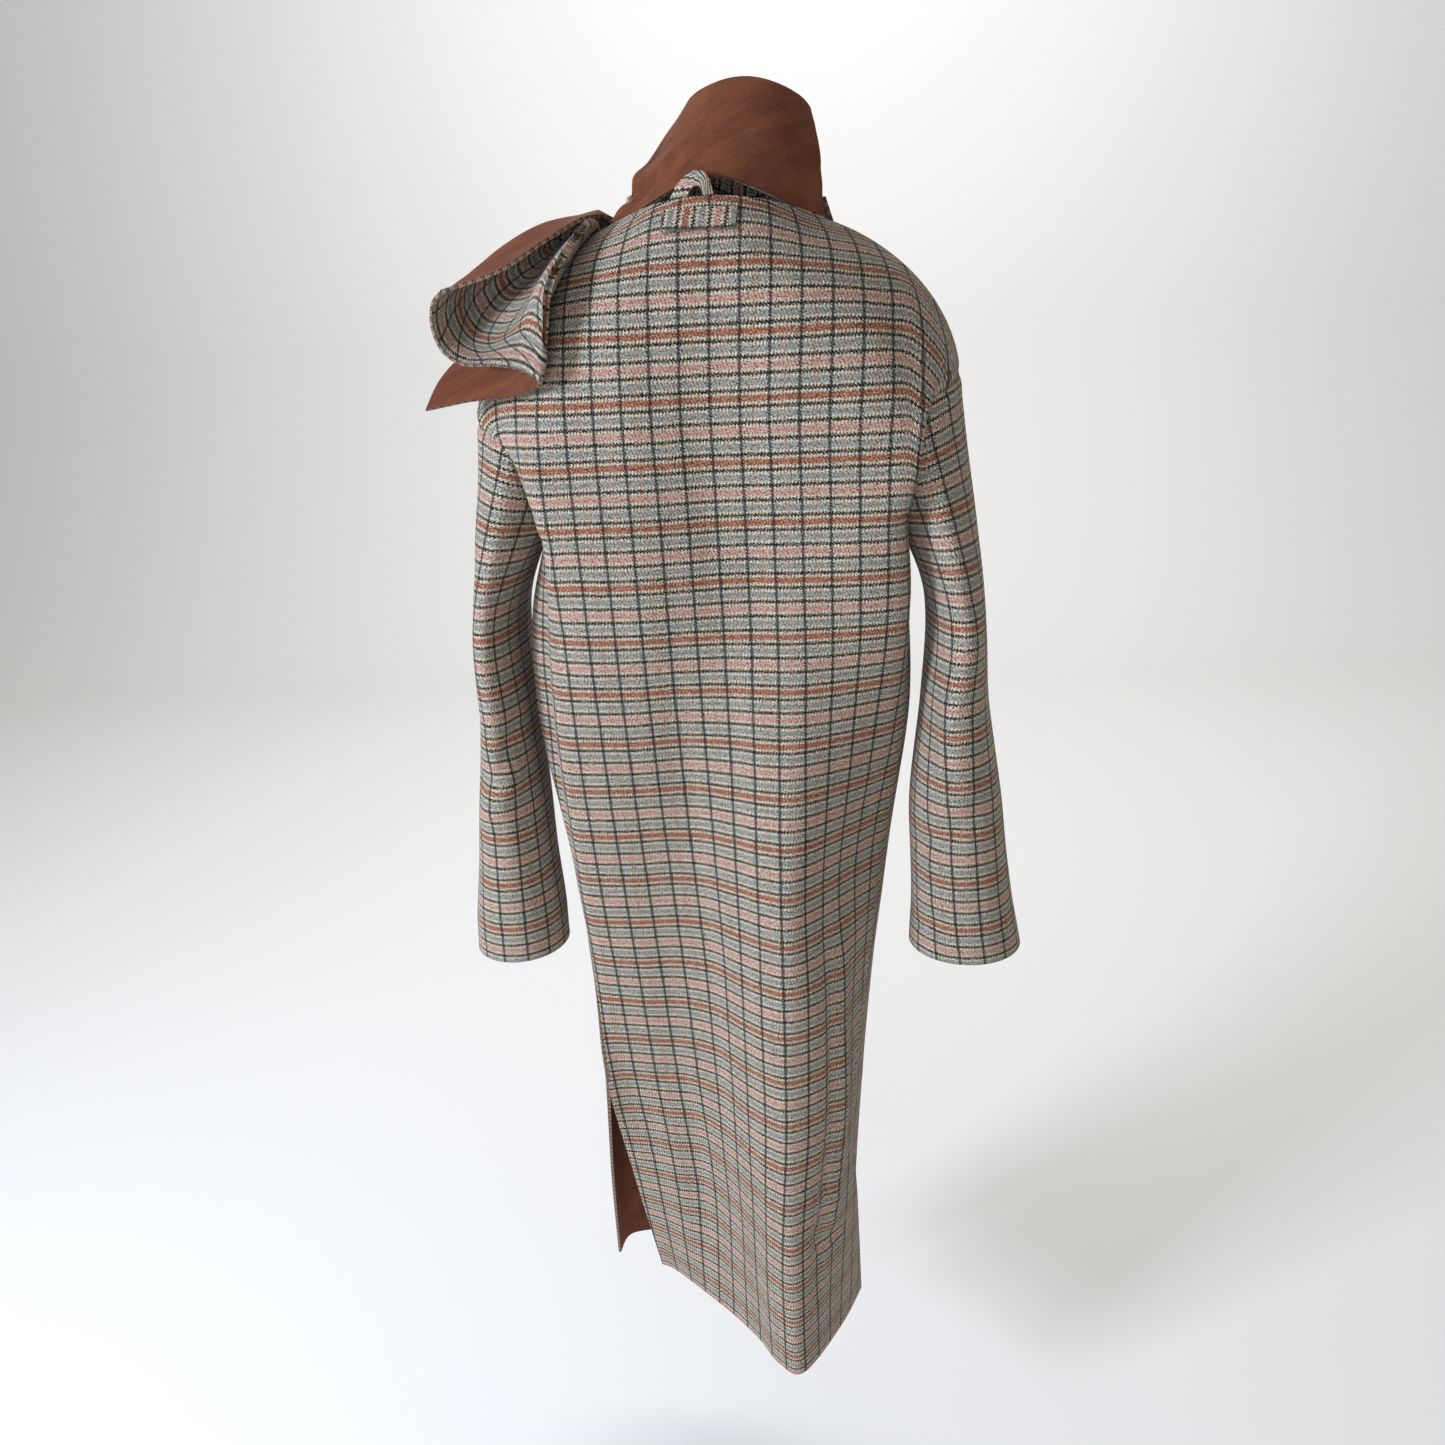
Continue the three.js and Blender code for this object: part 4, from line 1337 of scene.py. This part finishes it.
@dataclass
class ScarfCollar:
    """The scarf: a standing wrap, a stretch over the front and an end thrown over the left shoulder."""

    body: CoatBody
    wrap_top: dict[str, float] = field(
        default_factory=lambda: {"x": -37, "y": -14, "halfX": 53, "halfY": 54}
    )
    neck_middle: tuple[float, float] = (-7, -12)
    tuck: float = 2.0
    swell: float = 3.0
    wrap: Chart = Chart(
        "top lift inset",
        (
            (84, 0, 0.8),  # left
            (93, 6, 2),
            (98, 17, 5),  # back
            (89, 8, 3),
            (76, 0, 0.8),  # right
            (58, 0, 0.9),
            (46, 0, 0.9),  # front
            (60, 0, 0.8),
            (84, 0, 0.8),  # left
        ),
    )
    wrap_creases: tuple[Crease, ...] = (
        Crease(((262, 58), (222, 78), (176, 84), (130, 70)), -5.0, 8),  # the arc over the nape
        Crease(((268, 44), (224, 60), (176, 66), (130, 52)), 3.4, 9),
        Crease(((268, 84), (292, 60), (300, 30)), -3.0, 7),  # the crease down to the right
        Crease(((60, 40), (100, 50), (150, 30)), 2.0, 16),
        Crease(((380, 30), (460, 60), (520, 40)), -3.0, 14),
    )
    wrap_cut: Cut = Cut(0.43, 0.11, 0.042)

    def neck_edge(self) -> tuple[Array, Array]:
        """Gives the neck edge and its normals, round from the left by the back.

        Returns:
            Points and their normals.
        """
        body = self.body
        level = np.arange(4.0)
        grids = []
        for side in (Side.LEFT, Side.RIGHT):
            column = np.arange(body.shoulder + body.front_spans + 1.0)
            points = body.front_grid(side, level, column)
            grids.append((points[0], outward(points, -side.value)[0]))
        (left, left_normal), (right, right_normal) = grids
        column = np.arange(2 * body.shoulder + body.back_neck + 1.0)
        points = body.back_points(level, body.back_stations(column))
        back, back_normal = points[0], outward(points, -1)[0]
        first, last = body.shoulder, body.shoulder + body.back_neck
        meeting = left[-1, 0]
        count = int(np.sum(right[first + 1 :, 0] < meeting))
        place = [left[:first:-1], back[last : first - 1 : -1], right[first + 1 : first + 1 + count]]
        normal = [
            left_normal[:first:-1],
            back_normal[last : first - 1 : -1],
            right_normal[first + 1 : first + 1 + count],
        ]
        return np.concatenate(place), np.concatenate(normal)

    def wrap_grid(self, level: Array, fine: int) -> Array:
        """Gives the wrap's outer face from its upper edge down.

        Args:
            level: Shares of the way down.
            fine: Steps to each column of the coat.

        Returns:
            Points, levels by columns by three.
        """
        edge, normal = self.neck_edge()
        angle = np.arctan2(edge[:, 1] - self.neck_middle[1], edge[:, 0] - self.neck_middle[0])
        turn = np.mod(angle, 2 * np.pi)
        found = self.wrap.at(turn * self.wrap.last / (2 * np.pi))
        inward = np.stack([-np.cos(turn), -np.sin(turn), 0 * turn], 1)
        rim = np.maximum(0, -WALL * (normal * inward).sum(1))
        low = edge + inward * (rim + found["inset"])[:, None]
        low[:, 2] += found["lift"] - self.tuck
        top = self.wrap_top
        high_x = top["x"] + top["halfX"] * np.cos(turn)
        high_y = top["y"] + top["halfY"] * np.sin(turn)
        high = np.stack([high_x, high_y, found["top"]], 1)
        at = np.linspace(0, len(edge), len(edge) * fine + 1)
        low, high, inward = (smooth_round(a, at) for a in (low, high, inward))
        drop = level[:, None, None]
        return high + (low - high) * drop - self.swell * np.sin(np.pi * drop) * inward

    def make_wrap(self, wardrobe: Wardrobe) -> bpy.types.Object:
        """Builds the standing wrap: rust outside, check inside.

        Args:
            wardrobe: The finishes.

        Returns:
            The shell.
        """
        level = np.linspace(0, 1, 41)
        points = self.wrap_grid(level, 6)
        run, down = distances(points, 1), distances(points, 0)
        run = run - run[:, :1]
        swell = Unevenness(21, 1.0, 90.0)
        lift = sum(c.lift(run, down) for c in self.wrap_creases) + swell.lift(run, down)
        lift = lift * smoothstep(np.minimum(down, down[-1:] - down), 0, 16)
        lift = lift * smoothstep(np.minimum(run, run[:, -1:] - run), 0, 40)
        points = points + lift[..., None] * outward(points, 1, True)
        points[:, -1] = points[:, 0]
        cloth = np.stack([down, run], 2)
        shell = Shell("shell_scarf_wrap", points, 1, cloth, closed=True)
        piece = shell.build([wardrobe.rust, wardrobe.check, wardrobe.edge], ["scarf_wrap"], "rust_wool")
        self.wrap_cut.declare(piece, "gathered", ["back"])
        return piece


@dataclass
class ScarfEnd:
    """The scarf's end over the left shoulder, folded on itself, and the stretch that leads to it."""

    end_lines: tuple[tuple[Point, ...], ...]
    under_lines: tuple[tuple[Point, ...], ...]
    band_ways: tuple[tuple[Point, Point], ...]
    front_cut: Cut = Cut(0.36, 0.11, 0.037)
    end_cut: Cut = Cut(0.27, 0.18, 0.047)
    creases: tuple[Crease, ...] = (
        Crease(((30, 20), (42, 80), (30, 150)), 2.0, 12),
        Crease(((118, 30), (126, 80), (118, 140)), -2.0, 14),
        Crease(((190, 20), (196, 70), (190, 120)), 1.6, 12),
    )
    front_creases: tuple[Crease, ...] = (
        Crease(((30, 40), (40, 160), (30, 300)), 3.0, 12),
        Crease(((70, 30), (80, 160), (66, 280)), -3.0, 13),
        Crease(((105, 60), (112, 180), (96, 260)), 2.0, 12),
    )

    def make_end(self, wardrobe: Wardrobe) -> bpy.types.Object:
        """Builds the folded end: rust outside, check inside the trough.

        Args:
            wardrobe: The finishes.

        Returns:
            The shell.
        """
        lines = np.array([*self.end_lines, *self.under_lines], float)
        across = steps(len(lines) - 1, 12, (0.04, 0.1, 0.2))
        along = steps(lines.shape[1] - 1, 14, (0.04, 0.1, 0.2))
        points = smooth(np.swapaxes(smooth(lines, across), 0, 1), along)
        points = np.swapaxes(points, 0, 1)
        width, length = distances(points, 0), distances(points, 1)
        cloth = np.stack([width, length], 2)
        swell = Unevenness(31, 0.7, 80.0)
        lift = sum(c.lift(width, length) for c in self.creases) + swell.lift(width, length)
        inside = np.minimum(np.minimum(width, width[-1:] - width), length[:, -1:] - length)
        lift = lift * smoothstep(inside, 0, 20) * smoothstep(length, 0, 16)
        points = points + lift[..., None] * outward(points, -1)
        shell = Shell("shell_scarf_end", points, -1, cloth)
        nodes = ["scarf_end", "scarf_under"]
        piece = shell.build([wardrobe.rust, wardrobe.check, wardrobe.edge], nodes, "rust_wool")
        self.end_cut.declare(piece, "folded", ["back", "front_left"])
        return piece

    def make_front(self, wardrobe: Wardrobe) -> bpy.types.Object:
        """Builds the stretch across the front of the neck.

        Args:
            wardrobe: The finishes.

        Returns:
            The shell.
        """
        lines = np.array(self.end_lines, float)
        share = steps(1, 60, (0.01, 0.025, 0.05))
        last = smooth(lines[:, -1], share * (len(lines) - 1))
        stops = [np.outer(1 - share, top) + np.outer(share, bottom) for top, bottom in self.band_ways]
        along = steps(len(stops), 20, (0.02, 0.05, 0.12))
        points = np.swapaxes(smooth(np.stack([*stops, last]), along), 0, 1)
        width, length = distances(points, 0), distances(points, 1)
        cloth = np.stack([width, length], 2)
        swell = Unevenness(37, 0.8, 90.0)
        lift = sum(c.lift(width, length) for c in self.front_creases) + swell.lift(width, length)
        inside = np.minimum(width, width[-1:] - width)
        ends = np.minimum(length, length[:, -1:] - length)
        lift = lift * smoothstep(inside, 0, 20) * smoothstep(ends, 0, 20)
        points = points + lift[..., None] * outward(points, 1)
        shell = Shell("shell_scarf_front", points, 1, cloth)
        piece = shell.build([wardrobe.rust, wardrobe.check, wardrobe.edge], ["scarf_front"], "rust_wool")
        self.front_cut.declare(piece, "draped", ["front_right", "front_left"])
        return piece


@dataclass
class HangerTrim:
    """The strip sewn flat across the nape and the hanging loop above it."""

    body: CoatBody
    level: tuple[float, float] = (1, 2)
    columns: tuple[float, float] = (9, 14)
    clear: float = 0.4
    wall: float = 2.4
    inside: float = 0.3
    tab_cut: Cut = Cut(0.062, 0.022, 0.0013)
    loop_cut: Cut = Cut(0.011, 0.050, 0.0005)
    outer: Chart = Chart("x z", ((23, 13.1), (17, 22), (9, 28), (0, 31), (-7, 27), (-11, 13.35)))
    inner: Chart = Chart("x z", ((9, 13.35), (7, 18), (4, 20), (1, 20.5), (-2, 19), (-4, 13.35)))

    def make_tab(self, wardrobe: Wardrobe) -> bpy.types.Object:
        """Builds the flat strip, with its stripes up and down.

        Args:
            wardrobe: The finishes.

        Returns:
            The shell.
        """
        level = self.level[0] + steps(self.level[1] - self.level[0], 14, (0.04, 0.1))
        column = self.columns[0] + steps(self.columns[1] - self.columns[0], 10, (0.05, 0.12))
        far = np.arange(level[0] - 0.2, level[-1] + 0.3, 0.1)
        whole = self.body.back_points(far, self.body.back_stations(column))
        normal = outward(whole, -1)
        pick = np.clip(np.searchsorted(far, level), 0, len(far) - 1)
        points = self.body.back_points(level, self.body.back_stations(column))
        points = points + (self.clear + self.wall) * normal[pick]
        width, height = distances(points, 1), distances(points, 0)
        cloth = np.stack([height + 6, width - 2], 2)
        shell = Shell("shell_hanger_tab", points, -1, cloth, wall=self.wall, rim=0.7)
        piece = shell.build([wardrobe.check, wardrobe.rust, wardrobe.check], ["hanger_tab"], "checked_wool")
        self.tab_cut.declare(piece, "laid", ["back"])
        return piece

    def make_loop(self, wardrobe: Wardrobe) -> bpy.types.Object:
        """Builds the bent loop.

        Args:
            wardrobe: The finishes.

        Returns:
            The shell.
        """
        at = np.linspace(0, self.outer.last, 41)
        outer, inner = self.outer.at(at), self.inner.at(at)
        share = np.linspace(0, 1, 9)[None]
        x = outer["x"][:, None] * (1 - share) + inner["x"][:, None] * share
        z = outer["z"][:, None] * (1 - share) + inner["z"][:, None] * share
        column = np.linspace(self.body.shoulder, self.body.shoulder + self.body.back_neck, 60)
        edge = self.body.back_points(np.zeros(1), self.body.back_stations(column))[0]
        y = np.interp(x, edge[:, 0], edge[:, 1]) + self.inside + 0.5 * np.sin(np.pi * share)
        points = np.stack([x, y, z], 2)
        cloth = np.stack([distances(points, 1), distances(points, 0)], 2)
        shell = Shell("shell_neck_loop", points, 1, cloth, wall=self.wall, rim=0.7)
        piece = shell.build([wardrobe.check, wardrobe.check, wardrobe.check], ["neck_loop"], "checked_wool")
        self.loop_cut.declare(piece, "folded", ["back"])
        return piece


@dataclass
class Studio:
    """Floor, lights and the camera behind the coat, a little above the middle of its view."""

    floor_level: float = -1.46
    floor_size: float = 44.0
    wall_place: float = -3.4  # where the floor starts to rise
    floor_bend: float = 1.4  # radius of the rise
    wall_height: float = 6.0
    place: Point = (-0.097, 1.014, -0.098)
    lens: float = 27.405  # mm on a 36 mm sensor
    heading: float = 6.0  # degrees
    tilt: float = 19.0
    roll: float = 3.0

    def camera(self) -> None:
        """Sets the camera at the viewing angle of the photograph."""
        heading, tilt, roll = (np.radians(a) for a in (self.heading, self.tilt, self.roll))
        ahead = np.array([np.sin(heading), -np.cos(heading), 0])
        right = np.array([-np.cos(heading), -np.sin(heading), 0])
        up = np.array([0, 0, 1.0])
        forward = np.cos(tilt) * ahead - np.sin(tilt) * up
        down = -np.sin(tilt) * ahead - np.cos(tilt) * up
        x_axis = np.cos(roll) * right + np.sin(roll) * down
        y_axis = np.sin(roll) * right - np.cos(roll) * down
        data = bpy.data.cameras.new("camera")
        data.lens, data.sensor_width = self.lens, 36
        data.clip_start, data.clip_end = 0.01, 50
        camera = bpy.data.objects.new("camera", data)
        bpy.context.scene.collection.objects.link(camera)
        turn = Matrix([Vector(v) for v in (x_axis, y_axis, -forward)]).transposed().to_4x4()
        camera.matrix_world = Matrix.Translation(Vector(self.place)) @ turn
        bpy.context.scene.camera = camera

    def floor(self) -> None:
        """Lays the pale floor, which sweeps up behind the coat."""
        half, bend, wall = self.floor_size / 2, self.floor_bend, self.wall_place
        turn = np.linspace(0, np.pi / 2, 17)
        sweep = zip(wall - bend * np.sin(turn), bend * (1 - np.cos(turn)))
        way = [(half, 0.0), *sweep, (wall - bend, self.wall_height)]
        points = [(x, float(y), self.floor_level + float(z)) for y, z in way for x in (-half, half)]
        faces = [(2 * k, 2 * k + 1, 2 * k + 3, 2 * k + 2) for k in range(len(way) - 1)]
        mesh = bpy.data.meshes.new("floor")
        mesh.from_pydata(points, [], faces)
        mesh.polygons.foreach_set("use_smooth", [True] * len(faces))
        mesh.materials.append(PaleFloor().build())
        floor = bpy.data.objects.new("floor", mesh)
        bpy.context.scene.collection.objects.link(floor)

    def light(
        self, name: str, place: Point, target: Point, size: float, watts: float, colour: str
    ) -> None:
        """Hangs one soft box.

        Args:
            name: Its name.
            place: Its middle, in metres.
            target: What it faces.
            size: Its side, in metres.
            watts: Its power.
            colour: Its sRGB hex colour.
        """
        data = bpy.data.lights.new(name, "AREA")
        data.size, data.energy, data.color = size, watts, linear(colour)[:3]
        lamp = bpy.data.objects.new(name, data)
        bpy.context.scene.collection.objects.link(lamp)
        way = Vector(target) - Vector(place)
        turn = way.to_track_quat("-Z", "Y").to_matrix().to_4x4()
        lamp.matrix_world = Matrix.Translation(Vector(place)) @ turn

    def build(self) -> None:
        """Sets the whole studio."""
        self.camera()
        self.floor()
        bpy.context.scene.view_settings.view_transform = "Standard"
        world = bpy.data.worlds.new("studio")
        bpy.context.scene.world = world
        world.use_nodes = True
        sky = world.node_tree.nodes["Background"]
        sky.inputs["Color"].default_value = linear("#fbf8f4")
        sky.inputs["Strength"].default_value = 0.42
        self.light("key", (2.1, 1.6, 0.2), (0, 0, -0.6), 0.6, 92, "#dde9fc")
        self.light("fill", (0.2, 2.5, -0.5), (0, 0, -0.9), 0.9, 20, "#eef2fa")
        self.light("sweep", (0, -1.6, 2.6), (0, -5.0, -0.4), 3.0, 120, "#ffffff")


SLEEVE_RIGHT = Chart(
    "z x y halfX halfY",
    (
        (-330, -214, -25, 27, 74),  # upper arm
        (-440, -216, -24, 33, 69),
        (-540, -219, -22, 45, 62),  # forearm
        (-640, -226, -20, 51, 57),
        (-700, -231, -20, 57, 54),  # cuff
    ),
)
SLEEVE_LEFT = Chart(
    "z x y halfX halfY",
    (
        (-330, 222, -28, 21, 77),
        (-440, 227, -26, 25, 72),
        (-540, 233, -24, 35, 64),
        (-640, 238, -20, 45, 56),
        (-700, 241, -20, 49, 52),
    ),
)
SLEEVE_CUT = Cut(0.38, 0.60, 0.19)
RIGHT_SLEEVE_CREASES: tuple[Crease, ...] = (
    Crease(((70, 330), (96, 420), (88, 540)), 4.0, 14),
    Crease(((60, 520), (100, 560), (150, 580)), -4.0, 13),
    Crease(((110, 640), (130, 670), (170, 680)), -2.0, 11),
    Crease(((200, 250), (220, 400), (215, 560)), 2.4, 18),
)
LEFT_SLEEVE_CREASES: tuple[Crease, ...] = (
    Crease(((120, 430), (84, 480), (40, 500)), -4.5, 13),
    Crease(((110, 470), (80, 520), (44, 545)), 3.6, 11),
    Crease(((60, 250), (72, 330), (60, 430)), 2.2, 14),
    Crease(((220, 300), (236, 430), (230, 600)), -2.4, 18),
)
END_LINES: tuple[tuple[Point, ...], ...] = (
    ((215, 70, -45), (169, 61, -32), (133, 46, -11), (105, 20, 7), (92, -12, 12)),
    ((225, 70, -55), (185, 32, -23), (147, 6, 3), (117, -16, 13), (100, -32, 18)),
    ((227, 73, -73), (203, 26, -49), (165, -2, -21), (134, -26, 3), (117, -42, 10)),
    ((219, 78, -93), (195, 40, -77), (163, 14, -45), (141, -14, -15), (129, -36, -2)),
    ((200, 84, -105), (175, 60, -87), (149, 40, -55), (135, 4, -24), (129, -24, -10)),
    ((171, 89, -107), (153, 79, -85), (137, 64, -51), (123, 22, -19), (120, -12, -10)),
    ((147, 94, -111), (138, 90, -83), (127, 80, -45), (110, 34, -12), (107, -4, -4)),
    ((135, 96, -122), (126, 97, -89), (119, 92, -47), (99, 40, -3), (95, 2, 3)),  # fold
)
UNDER_LINES: tuple[tuple[Point, ...], ...] = (
    ((164, 80, -131), (149, 80, -105), (139, 72, -75), (121, 47, -36), (98, 6, 2)),
    ((201, 74, -133), (185, 66, -108), (165, 55, -84), (135, 45, -45), (101, 10, 0)),
    ((243, 66, -139), (229, 57, -114), (205, 38, -90), (151, 38, -59), (104, 14, -2)),
)
BAND_WAYS: tuple[tuple[Point, Point], ...] = (
    ((-100, -34, 17), (-122, -54, -47)),  # right of the wrap
    ((-84, -84, 17), (-103, -109, -85)),
    ((-20, -116, -3), (-12, -143, -123)),
    ((49, -97, 4), (69, -126, -84)),
)


def main() -> None:
    """Dresses the coat from the body outwards and sets the studio."""
    logging.basicConfig(level=logging.INFO, format="%(name)s: %(message)s")
    wardrobe = Wardrobe()
    body = CoatBody()
    body.make_back(wardrobe)
    for side in Side:
        body.make_front(side, wardrobe)
    for sleeve in (
        Sleeve(body, Side.RIGHT, SLEEVE_RIGHT, SLEEVE_CUT, RIGHT_SLEEVE_CREASES, seed=5),
        Sleeve(body, Side.LEFT, SLEEVE_LEFT, SLEEVE_CUT, LEFT_SLEEVE_CREASES, seed=8),
    ):
        sleeve.make(wardrobe)
    ScarfCollar(body).make_wrap(wardrobe)
    end = ScarfEnd(END_LINES, UNDER_LINES, BAND_WAYS)
    end.make_front(wardrobe)
    end.make_end(wardrobe)
    trim = HangerTrim(body)
    trim.make_tab(wardrobe)
    trim.make_loop(wardrobe)
    Studio().build()


if __name__ == "__main__":
    main()
